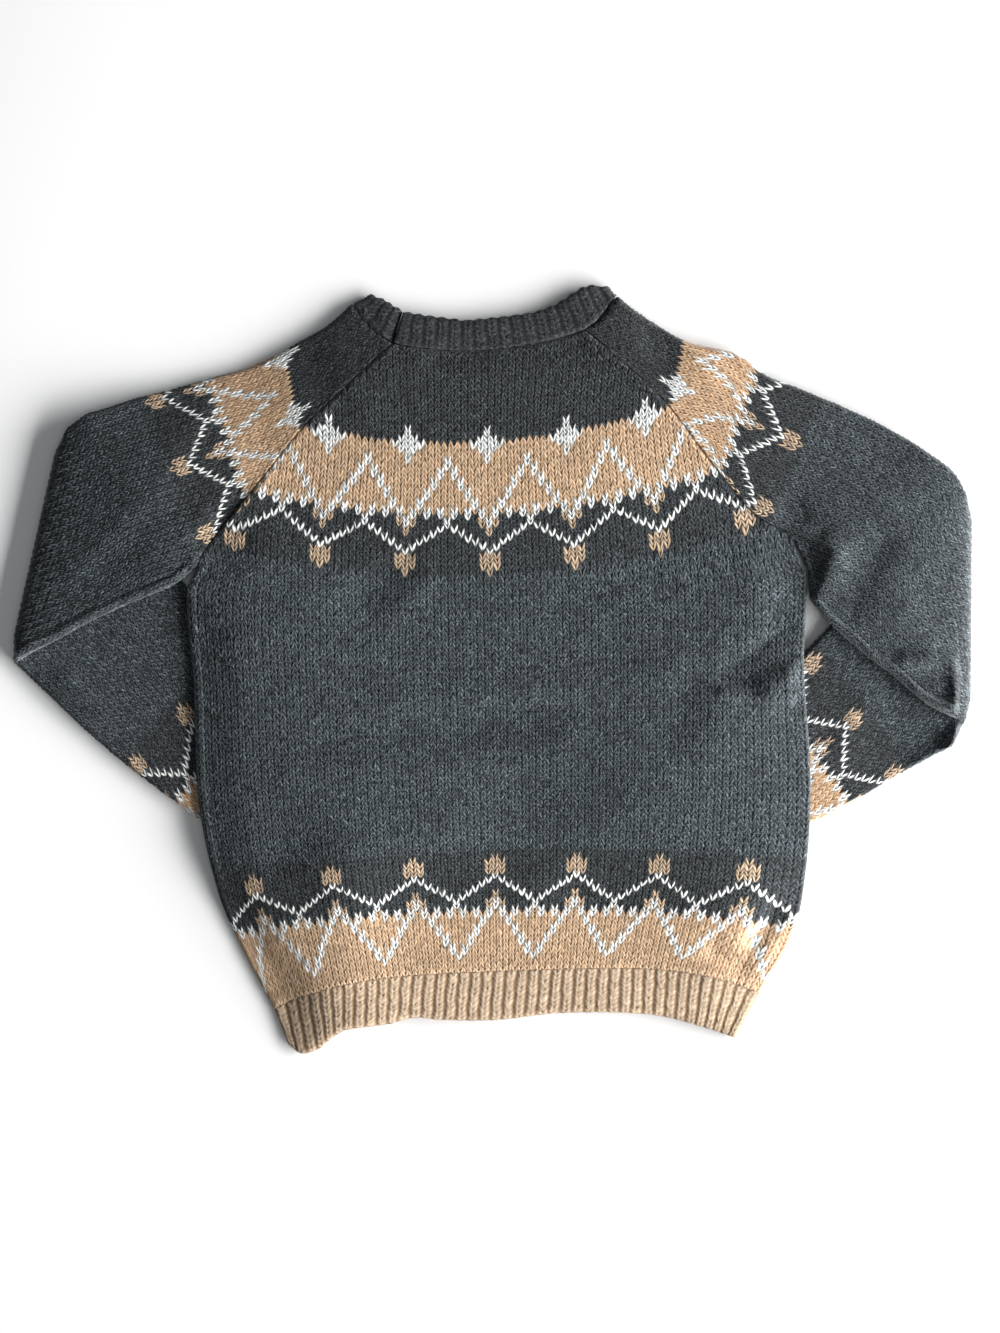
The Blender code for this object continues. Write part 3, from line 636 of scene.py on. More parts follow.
def makeYarnGroup():
    group, given, result = nodeGroup(
        "spunYarn",
        [("Yarn", "NodeSocketColor"), ("Marl", "NodeSocketFloat"), ("FloatsAndShade", "NodeSocketFloat"),
         ("Stitch", "NodeSocketVector"), ("Object", "NodeSocketVector")],
        [("Colour", "NodeSocketColor"), ("Roughness", "NodeSocketFloat"),
         ("Height", "NodeSocketFloat")],
    )
    look = yarnLook

    def noise(scale, detail):
        inputs = {"Scale": scale, "Detail": detail, "Vector": given["Object"]}
        return addNode(group, "TexNoise", inputs).outputs["Fac"]

    def scaled(vector, scale):
        node = addNode(group, "VectorMath", {0: vector, "Scale": scale}, operation="SCALE")
        return node.outputs[0]

    marlNoise = noise(look["marlScale"], 3)
    fibre = noise(look["fibreScale"], 2)
    along, up, height = addNode(group, "SeparateXYZ", {0: given["Stitch"]}).outputs
    # marl: dark and light fibres in one yarn
    spread = addNode(group, "MapRange", {
        "From Min": look["marlFrom"][0], "From Max": look["marlFrom"][1],
        "To Min": look["marlDark"], "To Max": look["marlLight"], "Value": marlNoise,
    }).outputs[0]
    amount = mathNode(group, "MULTIPLY", mathNode(group, "SUBTRACT", spread, 1.0), given["Marl"])
    fleck = mathNode(group, "ADD", amount, 1.0)
    fuzz = mathNode(group, "MULTIPLY_ADD", fibre, 0.30, 0.85)
    toned = scaled(given["Yarn"], mathNode(group, "MULTIPLY", fleck, fuzz))
    # painted shade: the ground between the legs is painted darker by the cloth's height, where the
    # legs shade it
    deep = addNode(group, "MapRange", {
        "From Min": look["deep"][0], "From Max": look["deep"][1], "Value": height,
    }, interpolation_type="SMOOTHSTEP").outputs[0]
    squared = addNode(
        group, "VectorMath", {0: given["Yarn"], 1: given["Yarn"]}, operation="MULTIPLY"
    ).outputs[0]
    lightness = mathNode(group, "MULTIPLY_ADD", given["Marl"], look["gapMarl"], look["gapShade"])
    # gaps with strands behind take the strand colour, darkened as painted shade
    seen = mixColour(group, given["FloatsAndShade"], scaled(squared, lightness), look["shadedFloatColour"])
    feed(group, result["Colour"], mixColour(group, deep, seen, toned))
    feed(group, result["Roughness"], mathNode(group, "MULTIPLY_ADD", fibre, 0.2, 0.75))
    # plies wind round each leg
    middle = mathNode(group, "SUBTRACT", mathNode(group, "FRACT", along), 0.5)
    wound = mathNode(group, "MULTIPLY", mathNode(group, "ABSOLUTE", middle), look["twists"] * 4)
    turn = mathNode(group, "MULTIPLY", mathNode(group, "ADD", wound, up), 6.2832)
    plies = mathNode(group, "MULTIPLY", mathNode(group, "SINE", turn), 0.25)
    feed(group, result["Height"], mathNode(group, "ADD", plies, fibre))
    return group


def makeMaterial(name):
    material = bpy.data.materials.new(name)
    material.use_nodes = True
    tree = material.node_tree
    return material, tree, tree.nodes["Principled BSDF"].inputs


def makeKnitMaterial():
    material, tree, shader = makeMaterial("spunKnit")
    # one attribute sets where the gaps take the dark strand colour and its painted shade
    yarn, detail, floatsAndShade = (
        addNode(tree, "Attribute", {}, attribute_name=name).outputs
        for name in ("yarn", "stitch", "floatsAndShade")
    )
    spun = addNode(tree, "Group", {}, node_tree=makeYarnGroup())
    for name, value in {
        "Yarn": yarn["Color"], "Marl": yarn["Alpha"], "FloatsAndShade": floatsAndShade["Fac"],
        "Stitch": detail["Vector"], "Object": addNode(tree, "TexCoord", {}).outputs["Object"],
    }.items():
        feed(tree, spun.inputs[name], value)
    bump = addNode(
        tree, "Bump", {"Strength": 0.5, "Distance": 0.0003, "Height": spun.outputs["Height"]}
    )
    for name, value in {
        "Sheen Weight": 0.25, "Sheen Roughness": 0.5, "Specular IOR Level": 0.2,
        "Base Color": spun.outputs["Colour"], "Roughness": spun.outputs["Roughness"],
        "Normal": bump.outputs["Normal"],
    }.items():
        feed(tree, shader[name], value)
    return material


knitMaterial = makeKnitMaterial()


# level of the gaps between the stitches, from the cloth's face, on top and where it rests
sink = {"upper": -0.5, "resting": -1.05}

seam = {
    "distance": 6.6,
    "groove": -0.9,
    "grooveWidth": 1.0,
    "ridge": 1.0,
    "ridgeWidth": 1.8,
    "onBody": 0.4,  # how much of it shows on the panels
    "ridgeBeside": 2.2,  # from the groove to the ridge
    "chain": 2.4,  # from a join to its chained stitches
    "chainWidth": 1.2,
}


def seamRelief(distance):
    # a seam lies under the cloth beside a folded edge and shows as a groove and a low ridge
    groove = seam["groove"] * np.exp(-(((distance - seam["distance"]) / seam["grooveWidth"]) ** 2))
    beside = distance - seam["distance"] + seam["ridgeBeside"]
    return groove + seam["ridge"] * np.exp(-((beside / seam["ridgeWidth"]) ** 2))


def joinRelief(distance):
    # the cloth dips where it is sewn to the next piece, and the chained stitches lie beside that
    chain = np.exp(-(((distance - seam["chain"]) / seam["chainWidth"]) ** 2))
    return 0.5 * chain - 0.3 * np.exp(-((distance / seam["chainWidth"]) ** 2))


def waleShare(column, course, table):
    # share across the panel; stitches run straight up and the raglans cut them off
    lines = body["waleLines"]
    centre, pitch = (curve(lines[:, 0], lines[:, k], course) for k in (1, 2))
    leftX, _, rightX, _, _, _ = bodyEdges(course, table)
    half = body["wales"] / 2
    across = column - half
    x = centre + pitch * across
    free = smooth((body["raglanCourse"] + 6 - course) / 8)
    spare = np.where(across < 0, leftX - (centre - pitch * half), rightX - (centre + pitch * half))
    x = x + spare * free * np.abs(across / half) ** body["endPower"]
    return np.clip((x - leftX) / (rightX - leftX), 0, 1)


def sideDistance(share, course):
    leftX, _, rightX, _, _, _ = bodyEdges(np.clip(course, 0, body["backCourses"]), body["courses"])
    return np.minimum(share, 1 - share) * (rightX - leftX)


def bodyFade(share, course):
    rise = (course - body["raglanCourse"]) / (body["backCourses"] - body["raglanCourse"])
    atEdge = seamFade(raglanShare * np.clip(rise, 0, 1))
    return atEdge + (1 - atEdge) * smooth(sideDistance(share, course) / cloth["sideFade"])


def sideDrop(share, course):
    return smooth((body["raglanCourse"] + 1 - course) / 3) * edgeDrop(sideDistance(share, course))


def wallAt(share, course):
    side = smooth((body["raglanCourse"] - course) / 12) * (share < 0.5)
    away = smooth(sideDistance(share, course) / cloth["pressFade"])
    return cloth["wall"] * (1 - cloth["press"] * side * (1 - away))


def levelAt(side, x, y, wall, drop, relief, outer, air):
    # height of a panel's or a hem's wall: the front rests, and the back lies over it
    bed = bedHeight(x, y)
    if side == "front":
        return bed + np.where(outer, np.minimum(drop - relief, wall - 0.1), wall)
    lowest = bed + wall + cloth["gap"] + air
    return lowest + np.where(outer, np.maximum(wall - drop + relief, 0.1), 0)


def restingRelief(height):
    return np.minimum(sink["resting"] + height * stitch["height"], 0)


def panelPlace(side):
    table = panelTable(side)
    top = body[side + "Courses"]

    def place(column, course, height, outer):
        course = np.clip(course, hem["seamGap"], top)
        share = waleShare(column, course, table)
        x, y = bodyPoint(share, course, table)
        drop, wall = sideDrop(share, course), wallAt(share, course)
        if side == "front":
            return x, y, levelAt(side, x, y, wall, drop, restingRelief(height), outer, 0)
        relief = sink["upper"] + height * stitch["height"]
        distance = sideDistance(share, course)
        sewn = smooth((course - body["raglanCourse"]) / 4)
        seen = (1 - sewn) * smooth((course - 18) / 12)
        relief = relief + np.where(share < 0.5, seamRelief(distance), 0) * seen * seam["onBody"]
        relief = relief + joinRelief(distance) * sewn + joinRelief((top - course) * coursePitch)
        air = airHeight(x, y, bodyFade(share, course), distance, bridgeHeight(x, y))
        return x, y, levelAt(side, x, y, wall, drop, relief, outer, air)

    def past(column, course):
        share = waleShare(column, np.clip(course, hem["seamGap"], top), table)
        return (course <= hem["seamGap"]) | (course >= top) | (share <= 0) | (share >= 1)

    return place, past


def makePanel(side, name, wale, first, last):
    # rows of stitches from the first course to the last, which both may lie past the panel's ends
    letters = yarnTable(body["wales"], last - first, first, (6, 6), 0)
    place, past = panelPlace(side)
    panel = knitSheet(
        name, body["wales"], last - first, first, wale, stitch["slant"], place, letters, past
    )
    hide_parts(side)


# the back is one panel, made in two lots of courses
makePanel("back", "backLower", fineWale, -2, 64)
makePanel("back", "backUpper", fineWale, 64, 130)
makePanel(
    "front", "frontKnit", plainWale, -2, 124,
)


# ribs of the hem
def ribLetters(ribs, courses, letter):
    return np.full((ribs, courses), letter)


def hemPlace(side):
    def place(column, course, height, outer):
        down = np.clip(course / hem["courses"], 0.0, 1.0)
        share = np.clip(column / hem["ribs"], 0, 1)
        top = np.zeros_like(share)
        topX, topY = bodyPoint(share, top, body["courses"])
        edgeShare = curve(hem["fan"][:, 0], hem["fan"][:, 1], share)
        edge = along(hem[side], edgeShare * lengthsOf(hem[side])[-1])
        x, y = topX + (edge[..., 0] - topX) * down, topY + (edge[..., 1] - topY) * down
        drop = np.maximum(edgeDrop((1 - down) * hem["depth"]), sideDrop(share, top))
        wall = wallAt(share, top)
        if side == "front":
            return x, y, levelAt(side, x, y, wall, drop, restingRelief(height), outer, 0)
        relief = sink["upper"] + height * stitch["height"]
        fade = bodyFade(share, top) * (1 - 0.7 * down)
        air = airHeight(x, y, fade, sideDistance(share, top), bridgeHeight(x, y))
        return x, y, levelAt(side, x, y, wall, drop, relief, outer, air)

    return place


def makeHem(side, name):
    # its stitches are placed downwards from the seam with the body
    obj = knitSheet(
        name, hem["ribs"], hem["courses"] + 2, -1, ribWale, -1.0, hemPlace(side),
        ribLetters(hem["ribs"], hem["courses"] + 4, "R"),
    )
    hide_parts(side + "_hem_rib")


makeHem("back", "backHemRib")
makeHem("front", "frontHemRib")

# The neckband goes from its join at the left back raglan, along the back, over the right shoulder,
# along the front and over the left shoulder to the join. Its seam is at a share across the panel
# that it meets or, on a sleeve, at a point: layer, share, seam x, seam y, edge x, edge y
neck = {
    "ribs": 48,
    "courses": 7,
    "depth": 19.0,
    "scallop": 0.025,  # share of the depth by which the ribs' ends stand out
    "tuck": 1.3,  # the band's end goes in below its start at the join
    "steps": 6,
    "turnSteps": 4,
    "stations": [
        ("back", 0.006, None, None, -53.2, 214.3),
        ("back", 0.17, None, None, -39, 212),
        ("back", 0.38, None, None, -16, 209),
        ("back", 0.62, None, None, 9, 211.5),
        ("back", 0.78, None, None, 26, 214),
        ("back", 0.91, None, None, 39, 219),
        ("back", 1.0, None, None, 48, 225),
        ("back", None, 63, 208, 54.5, 229),
        ("back", None, 69, 216, 60.5, 230.5),
        ("back", None, 72.9, 222.2, 66.9, 229.2),
        ("front", None, 72.9, 222.2, 66.9, 229.2),
        ("front", None, 73, 211, 63, 220),
        ("front", 1.0, None, None, 55, 204),
        ("front", 0.82, None, None, 36, 187),
        ("front", 0.49, None, None, -2, 178),
        ("front", 0.15, None, None, -42, 187),
        ("front", 0.0, None, None, -58, 202),
        ("front", None, -79, 206, -66, 214),
        ("front", None, -82.6, 216.6, -70.6, 223.6),
        ("back", None, -82.6, 216.6, -70.6, 223.6),
        ("back", None, -78, 209, -65.5, 222),
        ("back", None, -69, 201, -60, 218.5),
        ("back", None, -60.1, 195.6, -53.6, 214.6),
    ],
}


def neckPath():
    # seam x and y, edge x and y, middle height, and the direction out of the band's face
    middle = {"back": layers - cloth["wall"] / 2, "front": cloth["wall"] / 2}
    radius = (middle["back"] - middle["front"]) / 2
    path = []

    def seamPoint(layer, share, x, y):
        if share is None:
            return np.array([x, y], float)
        return np.array(bodyPoint(np.float64(share), body[layer + "Courses"], panelTable(layer)))

    stations = neck["stations"]
    for here, after in zip(stations, stations[1:]):
        layer, share, *places = here
        nextLayer, nextShare, *nextPlaces = after
        start = seamPoint(layer, share, *places[:2])
        end = seamPoint(nextLayer, nextShare, *nextPlaces[:2])
        edge, nextEdge = np.array(places[2:], float), np.array(nextPlaces[2:], float)
        if layer != nextLayer:
            out = np.array([edge[1] - start[1], start[0] - edge[0]]) / math.dist(edge, start)
            out = out * np.sign(out[0] * start[0])
            for k in range(neck["turnSteps"] + 1):
                part = k / neck["turnSteps"]
                angle = math.pi * (part if layer == "back" else 1 - part)
                normal = (*(out * math.sin(angle)), math.cos(angle))
                path.append((
                    *start, *edge, middle["front"] + radius + radius * math.cos(angle), *normal,
                    radius * math.sin(angle),
                ))
            continue
        up = 1 if layer == "back" else -1
        last = after is stations[-1]
        for k in range(neck["steps"] + last):
            part = k / neck["steps"]
            at = start + (end - start) * part
            if share is not None and nextShare is not None:
                at = seamPoint(layer, share + (nextShare - share) * part, None, None)
            path.append((*at, *(edge + (nextEdge - edge) * part), middle[layer], 0, 0, up, 0))
    return np.array(path, float)


def neckPlace():
    path = neckPath()
    plan = np.column_stack([path[:, :2] + path[:, 2:4], 2 * path[:, 4]]) / 2
    steps = np.maximum(np.linalg.norm(np.diff(plan, axis=0), axis=1), 1e-6)
    lengths = np.concatenate([[0], np.cumsum(steps)])
    turns = lengths[path[:, 8] > 0.01]

    def place(column, course, height, outer):
        at = np.clip(column / neck["ribs"], 0, 1) * lengths[-1]
        seamX, seamY, edgeX, edgeY, z, normalX, normalY, normalZ, push = (
            np.interp(at, lengths, path[:, k]) for k in range(9)
        )
        size = np.sqrt(normalX**2 + normalY**2 + normalZ**2)
        normalX, normalY, normalZ = normalX / size, normalY / size, normalZ / size
        v = np.clip(course / neck["courses"], 0.03, 1)
        v = v * (1 + neck["scallop"] * np.cos(2 * math.pi * (column - 0.5)))
        x, y = seamX + (edgeX - seamX) * v, seamY + (edgeY - seamY) * v
        x, y = x + normalX * push, y + normalY * push
        facing = smooth((normalZ + 1) / 0.6)
        relief = sink["resting"] + (sink["upper"] - sink["resting"]) * facing
        relief = relief + height * stitch["height"]
        relief = np.where(facing > 0.5, relief, np.minimum(relief, 0))
        relief = relief - 0.8 * edgeDrop(np.maximum(0, 1 - v) * neck["depth"])
        relief = relief + joinRelief(v * neck["depth"]) * facing
        offset = np.where(outer, cloth["wall"] / 2 + relief, -cloth["wall"] / 2)
        fromTurn = np.abs(at[:, None] - turns).min(axis=1)
        lift = airHeight(x, y, 0.9, 20.0, 0) * (1 - 0.5 * v) * np.maximum(0, normalZ)
        lift = lift * smooth(fromTurn / 26) - neck["tuck"] * smooth((at - lengths[-1] + 7) / 7)
        return x + normalX * offset, y + normalY * offset, z + normalZ * offset + lift

    return place


neckbandKnit = knitSheet(
    "neckbandKnit", neck["ribs"], neck["courses"] + 1, 0, softRibWale, 1.0, neckPlace(),
    ribLetters(neck["ribs"], neck["courses"] + 4, "N"),
)
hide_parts("neckband")


# sleeves, unfolded, cut off at the raglan and turned under
def reflect(points, hinge):
    line = (hinge[1] - hinge[0]) / math.dist(hinge[0], hinge[1])
    rel = points - hinge[0]
    return hinge[0] + 2 * (rel @ line)[:, None] * line - rel


def raglanLine(sleeve, side):
    # in plan, from the armpit along the body's edge and past the neckband to the shoulder
    table = panelTable(side)
    numbers = np.linspace(body["raglanCourse"], body[side + "Courses"], 40)
    edge = np.full(40, 0.0 if sleeve["outwards"] < 0 else 1.0)
    points = np.stack(bodyPoint(edge, numbers, table), axis=1)
    run = np.stack(bodyPoint(edge, numbers + 0.1, table), axis=1) - points
    normal = np.stack([run[:, 1], -run[:, 0]], axis=1) / np.hypot(*run.T)[:, None]
    normal *= np.sign(normal[:, :1]) * sleeve["outwards"]
    points = points + normal * 1.2 * cloth["gap"]
    neckEdge = sleeve["neckBack"] if side == "back" else sleeve["neckFront"]
    return np.vstack([sleeve["armpit"], points, neckEdge, sleeve["shoulder"][:1]])


def prepareSleeve(sleeve):
    # rows of the unfolded sleeve: shoulder point, direction across, stitch width and cloth width
    rows, hinge, knit = sleeve["rows"], sleeve["hinge"], sleeveKnit
    armpitCourse, armpitArc = rows[0, 0], rows[0, 1]
    low = np.vstack([sleeve["underarm"], reflect(sleeve["forearm"][:, :2], hinge)[1:]])
    high = np.vstack([sleeve["shoulder"], reflect(sleeve["forearm"][:, 2:], hinge)[1:]])
    lowLength, highLength = lengthsOf(low)[-1], lengthsOf(high)[-1]
    sleeve["wrist"] = armpitCourse - round(lowLength / knit["coursePitch"])
    bandTop = sleeve["wrist"] + knit["bandCourses"]
    reach, extra = knit["bandCourses"] * knit["coursePitch"], 4 * knit["coursePitch"]
    courses = np.arange(sleeve["wrist"] - 4, knit["lastCourse"] + 0.01, 0.5)
    keys = [sleeve["wrist"] - 4, sleeve["wrist"], bandTop, armpitCourse]
    highArc, lowArc = (
        np.interp(courses, keys, [length + extra, length, length - reach, end])
        for length, end in ((highLength, armpitArc), (lowLength, 0.0))
    )
    above = courses > armpitCourse
    highArc[above] = curve(rows[:, 0], rows[:, 1], courses[above])
    start = along(high, highArc)
    direction = along(low, lowArc) - start
    width = np.hypot(*direction.T)
    direction /= width[:, None]
    pitch = np.interp(courses, [bandTop, armpitCourse], [knit["cuffWalePitch"], rows[0, 4]])
    for k in (0, 1):
        direction[above, k] = curve(rows[:, 0], rows[:, 2 + k], courses[above])
    direction /= np.hypot(*direction.T)[:, None]
    pitch[above] = curve(rows[:, 0], rows[:, 4], courses[above])
    sectionLength = width + (math.pi - 2) * tubeRadius
    sleeve["half"] = math.ceil((sectionLength / pitch)[~above].max()) + 1
    width[above] = knit["openWidth"]
    sleeve["table"] = np.column_stack([courses, start, direction, pitch, width])
    # the stitches are set round the arm so that a wale's middle falls on the dots
    sleeve["dotWale"] = math.floor(sleeve["yokeDot"])
    sleeve["shift"] = sleeve["yokeDot"] - sleeve["dotWale"] - 0.5
    sleeve["cuts"] = {side: raglanCut(sleeve, side) for side in ("back", "front")}


def sleeveRow(sleeve, course):
    table = sleeve["table"]
    return [np.interp(course, table[:, 0], table[:, k]) for k in range(1, 7)]


def raglanCut(sleeve, side):
    # for each wale, the course at which the raglan or the neckband ends it
    line = raglanLine(sleeve, side)
    wales = np.arange(0, sleeve["half"] + 3, 0.125)
    armpitCourse = sleeve["rows"][0, 0]
    step = 0.25
    courses = np.arange(armpitCourse - 3, sleeveKnit["lastCourse"], step)
    startX, startY, dirX, dirY, pitch, width = sleeveRow(sleeve, courses[None, :])
    across = np.clip(wales[:, None] * pitch - (math.pi / 2 - 1) * tubeRadius, 0, width)
    grid = np.stack([startX + dirX * across, startY + dirY * across], axis=-1)
    a, run = grid[:, :-1, None, :], np.diff(grid, axis=1)[:, :, None, :]
    c, side = line[None, None, :-1, :], np.diff(line, axis=0)[None, None]
    cross = run[..., 0] * side[..., 1] - run[..., 1] * side[..., 0]
    cross = np.where(np.abs(cross) < 1e-12, 1e-12, cross)
    t = ((c - a)[..., 0] * side[..., 1] - (c - a)[..., 1] * side[..., 0]) / cross
    u = ((c - a)[..., 0] * run[..., 1] - (c - a)[..., 1] * run[..., 0]) / cross
    hit = (t >= 0) & (t < 1) & (u >= -1e-6) & (u <= 1 + 1e-6)
    at = np.where(hit, courses[None, :-1, None] + t * step, np.inf).min(axis=(1, 2))
    first = at[np.isfinite(at)][0]
    known = np.isfinite(at)
    at[~known] = np.where(wales[~known] < wales[known][0], first, armpitCourse)
    return wales, at


def sleevePlace(sleeve):
    hinge = sleeve["hinge"]
    hingeLength = math.dist(hinge[0], hinge[1])
    line = (hinge[1] - hinge[0]) / hingeLength
    out = np.array([line[1], -line[0]])
    out = out * np.sign(out[0]) * sleeve["outwards"]
    radius = tubeRadius
    quarter = math.pi / 2 * radius
    armpitCourse = sleeve["rows"][0, 0]

    def place(column, course, height, outer):
        wale, cut, course = waleAndCut(column, course)
        onBack = np.where(wale >= 0, 1.0, -1.0)
        startX, startY, dirX, dirY, pitch, width = sleeveRow(sleeve, course)
        sectionLength = width + (math.pi - 2) * radius
        sigma = np.minimum(np.abs(wale) * pitch, sectionLength)
        fromUnderarm = sectionLength - sigma
        below = smooth((armpitCourse - course) / 3)

        # the face that lies down when the sleeve has turned under is the back, and rests
        startsUp = smooth((beyondHinge(startX, startY, dirX, dirY, sigma) + 4) / -8)
        resting = np.where(onBack > 0, 1 - startsUp, startsUp)
        relief = sink["upper"] + (sink["resting"] - sink["upper"]) * resting
        relief = relief + height * stitch["height"]
        relief = np.where(resting > 0.5, np.minimum(relief, 0), relief)
        sewn = np.where(onBack > 0, seamRelief(fromUnderarm - quarter + radius), 0) * below
        relief = relief + sewn * (1 - resting)
        relief = relief + joinRelief((cut - course) * coursePitch) * (1 - below)
        relief = -0.8 + (relief + 0.8) * smooth(fromUnderarm / 2)
        relief = np.where(outer, relief, -cloth["wall"])
        thick = radius + relief

        topAngle = np.clip(sigma / radius, 0, math.pi / 2)
        lowAngle = np.clip(fromUnderarm / radius, 0, math.pi / 2)
        lowAngle = math.pi / 2 + (lowAngle - math.pi / 2) * below
        across = radius + np.maximum(sigma - quarter, 0) - thick * np.cos(topAngle)
        rounded = width - radius + thick * np.cos(lowAngle)
        blended = np.minimum(rounded * below + across * (1 - below), width)
        across = np.where(fromUnderarm < quarter, blended, across)
        bulk = np.minimum(np.sin(topAngle), np.sin(lowAngle))
        rise = radius + onBack * thick * bulk

        relX, relY = startX + dirX * across - hinge[0, 0], startY + dirY * across - hinge[0, 1]
        beyond = relX * out[0] + relY * out[1]
        down = relX * line[0] + relY * line[1]
        share = np.clip(down / hingeLength, 0, 1)
        taper = smooth(np.minimum(share, 1 - share) * sleeveKnit["turnTaper"])
        bulge = sleeveKnit["turnEnd"] + (1 - sleeveKnit["turnEnd"]) * taper
        turnRadius = np.maximum(cloth["gap"] / 2 + rise, 0.05)
        turnLength = math.pi * turnRadius * bulge
        room = sleeveKnit["turnRoom"]
        travel = beyond + turnLength * smooth((beyond + room) / (2 * room))
        angle = np.clip(travel / turnLength, 0, 1) * math.pi
        turned = turnRadius * np.sin(angle) * bulge
        turned = np.where(travel < turnLength, turned, turnLength - travel)
        reach = np.where(travel < 0, travel, turned)
        x = hinge[0, 0] + line[0] * down + out[0] * reach
        y = hinge[0, 1] + line[1] * down + out[1] * reach
        z = hingeHeight + turnRadius * np.cos(angle)

        # before the turn the arm lies on its own forearm, with room inside
        raglan = np.clip((course - armpitCourse) / (body["backCourses"] - armpitCourse), 0, 1)
        full = np.where(course > armpitCourse, widthAtCut(course), np.maximum(width, 1))
        t = np.clip(1 - (1 - raglanShare * raglan) * across / full, 0, 1)
        edge = np.minimum(np.minimum(sigma, fromUnderarm + farAway * (1 - below)), -travel)
        raglanDistance = (cut - course) * coursePitch + farAway * below
        fade = seamFade(t) * smooth(-travel / cloth["turnFade"])
        air = airHeight(x, y, fade, np.minimum(edge, raglanDistance), 0, cloth["sleeveCreaseFade"])
        bed = bedHeight(x, y) + bridgeHeight(x, y) * smooth(raglanDistance / 40)
        above = bed + rise + air * np.where(onBack > 0, bulk, 0)
        slack = creaseHeight(x, y, forearmCreases) * np.where(onBack < 0, bulk, 0)
        z = z + slack * smooth((travel - turnLength) / 5) * smooth(fromUnderarm / 2.5)
        flat = smooth(-travel / 6)
        return x, y, np.maximum(np.where(travel < 0, above * flat + z * (1 - flat), z), 0)

    def past(column, course):
        wale, cut, inside = waleAndCut(column, course)
        pitch, width = sleeveRow(sleeve, inside)[4:]
        return (course >= cut) | (np.abs(wale) * pitch >= width + (math.pi - 2) * radius)

    def waleAndCut(column, course):
        wale = column - sleeve["half"] + sleeve["shift"]
        cuts = [np.interp(np.abs(wale), *sleeve["cuts"][side]) for side in ("back", "front")]
        cut = np.where(wale >= 0, *cuts)
        return wale, cut, np.clip(course, sleeve["wrist"] + 0.1, cut)

    def beyondHinge(startX, startY, dirX, dirY, across):
        relX = startX + dirX * across - hinge[0, 0]
        relY = startY + dirY * across - hinge[0, 1]
        return relX * out[0] + relY * out[1]

    def widthAtCut(course):
        wales, cuts = sleeve["cuts"]["back"]
        order = np.argsort(cuts)
        wide = np.interp(course, cuts[order], wales[order]) * sleeveRow(sleeve, course)[4]
        return np.maximum(wide, sleeveKnit["leastWidth"])

    return place, past


def makeSleeve(sleeve, name, node):
    prepareSleeve(sleeve)
    first = math.floor(sleeve["wrist"]) - 2
    courses = sleeveKnit["lastCourse"] - first
    middle = sleeve["half"]
    dots = (middle + sleeve["cuffDot"], middle + sleeve["dotWale"])
    letters = yarnTable(2 * middle, courses, first, dots, round(sleeve["wrist"]))
    place, past = sleevePlace(sleeve)
    obj = knitSheet(
        name, 2 * middle, courses, first, plainWale, stitch["slant"], place, letters, past
    )
    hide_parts(node)


makeSleeve(leftSleeve, "leftSleeveKnit", "left_sleeve")
makeSleeve(rightSleeve, "rightSleeveKnit", "right_sleeve")

# cuffs
cuff = {"ribs": 24, "courses": 10}


def cuffPlace(sleeve):
    outer0, inner0 = sleeve["cuff"][0, :2], sleeve["cuff"][0, 2:]
    outer1, inner1 = sleeve["cuff"][1, :2], sleeve["cuff"][1, 2:]
    radius = tubeRadius
    quarter = math.pi / 2 * radius

    def place(column, course, height, outer):
        down = np.clip(course / cuff["courses"], 0.004, 1)[:, None]
        start, end = inner0 + (inner1 - inner0) * down, outer0 + (outer1 - outer0) * down
        run = end - start
        width = np.hypot(*run.T)
        section = width + (math.pi - 2) * radius
        wale = column / cuff["ribs"] * 2 - 1
        onBack = np.where(wale >= 0, 1.0, -1.0)
        sigma = np.abs(wale) * section
        raised = sink["resting"] + height * stitch["height"]
        relief = np.where(onBack > 0, np.minimum(raised, 0), raised)
        thick = radius + np.where(outer, relief, -cloth["wall"])
        topAngle = np.clip(sigma / radius, 0, math.pi / 2)
        lowAngle = np.clip((section - sigma) / radius, 0, math.pi / 2)
        across = radius + np.maximum(sigma - quarter, 0) - thick * np.cos(topAngle)
        rounded = width - radius + thick * np.cos(lowAngle)
        across = np.where(section - sigma < quarter, rounded, across)
        bulk = np.minimum(np.sin(topAngle), np.sin(lowAngle))
        point = start + run / width[:, None] * across[:, None]
        # the sleeve has turned under, so the cuff's back wall is the one that rests
        return point[:, 0], point[:, 1], layers - (radius + onBack * thick * bulk)

    return place


def makeCuff(sleeve, name, node):
    obj = knitSheet(
        name, cuff["ribs"], cuff["courses"], 0, ribWale, -1.0, cuffPlace(sleeve),
        ribLetters(cuff["ribs"], cuff["courses"] + 4, "R"),
        lambda column, course: (column <= 0) | (column >= cuff["ribs"]),
    )
    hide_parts(node)


makeCuff(leftSleeve, "leftCuffKnit", "left_cuff")
makeCuff(rightSleeve, "rightCuffKnit", "right_cuff")


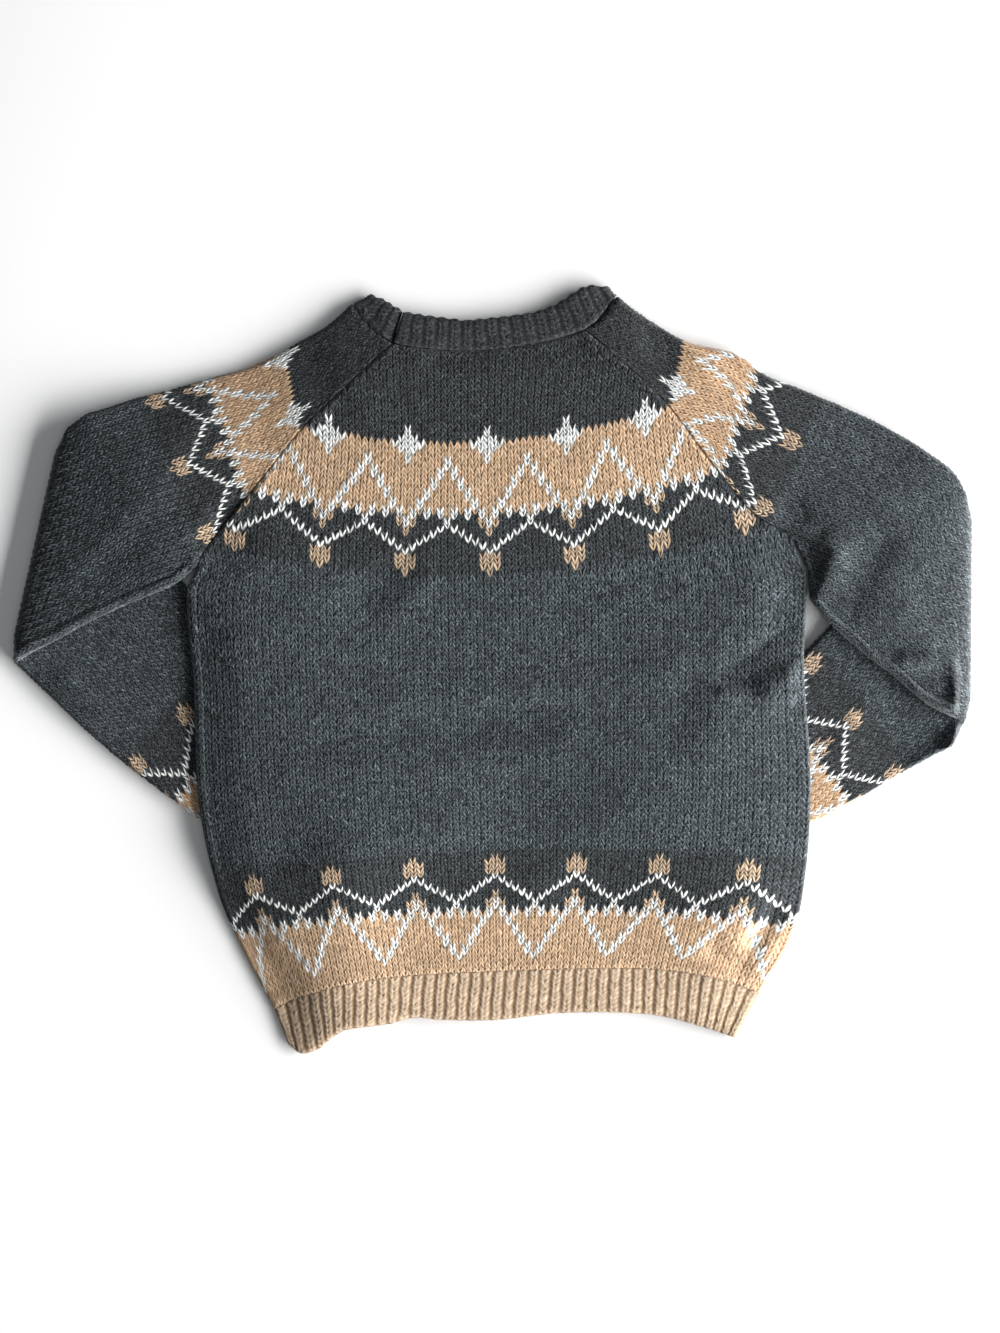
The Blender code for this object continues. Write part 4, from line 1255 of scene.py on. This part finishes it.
# floor, light and camera
studio = {
    "lens": 80.0,
    "viewHeight": 0.7998,  # of floor in view
    "centre": (0.0048, 0.0012),
    "focusHeight": 0.007,
    # name, place, width, height, power, colour: one wide soft light low on the right
    "lights": [
        ("windowLight", (1.48, -0.40, 0.50), 2.4, 1.1, 154, (1.0, 0.995, 0.985)),
        ("ceilingLight", (0.1, -0.1, 2.4), 1.8, 1.8, 6, (0.93, 0.97, 1.0)),
    ],
    "room": 0.13,
    "paper": (0.95, 0.55),  # on its far and its near side, this far from the middle
    "reach": 0.3,
}


def makeStudio():
    bm = bmesh.new()
    bmesh.ops.create_grid(bm, x_segments=1, y_segments=1, size=3.0)
    bmesh.ops.translate(bm, vec=(0, 0, -0.0004), verts=bm.verts)
    mesh = bpy.data.meshes.new("floor")
    bm.to_mesh(mesh)
    bm.free()
    floor = bpy.data.objects.new("floor", mesh)
    bpy.context.scene.collection.objects.link(floor)
    paper, tree, shader = makeMaterial("whitePaper")
    shader["Roughness"].default_value = 0.9
    # greyer towards the light, so that it looks evenly white
    light = Vector(studio["lights"][0][1]).normalized()
    place = addNode(tree, "TexCoord", {}).outputs["Object"]
    nearer = addNode(tree, "VectorMath", {0: place, 1: light}, operation="DOT_PRODUCT")
    grey = addNode(tree, "MapRange", {
        "From Min": -studio["reach"], "From Max": studio["reach"],
        "To Min": studio["paper"][0], "To Max": studio["paper"][1],
        "Value": nearer.outputs["Value"],
    })
    feed(tree, shader["Base Color"], grey.outputs[0])
    mesh.materials.append(paper)

    for name, place, width, height, power, colour in studio["lights"]:
        light = bpy.data.lights.new(name, "AREA")
        light.shape, light.size, light.size_y = "RECTANGLE", width, height
        light.energy, light.color = power, colour
        lamp = bpy.data.objects.new(name, light)
        lamp.location = place
        lamp.rotation_euler = (-Vector(place)).to_track_quat("-Z", "Y").to_euler()
        bpy.context.scene.collection.objects.link(lamp)
    world = bpy.data.worlds.new("softRoom")
    world.use_nodes = True
    background = world.node_tree.nodes["Background"].inputs
    background["Color"].default_value = (0.95, 0.975, 1.0, 1)
    background["Strength"].default_value = studio["room"]
    bpy.context.scene.world = world

    camera = bpy.data.cameras.new("camera")
    camera.lens = studio["lens"]
    camera.sensor_width = 36.0
    eye = bpy.data.objects.new("camera", camera)
    distance = studio["viewHeight"] * studio["lens"] / camera.sensor_width
    eye.location = (*studio["centre"], studio["focusHeight"] + distance)
    bpy.context.scene.collection.objects.link(eye)
    bpy.context.scene.camera = eye
    bpy.context.scene.view_settings.view_transform = "Standard"


makeStudio()
print("studio")
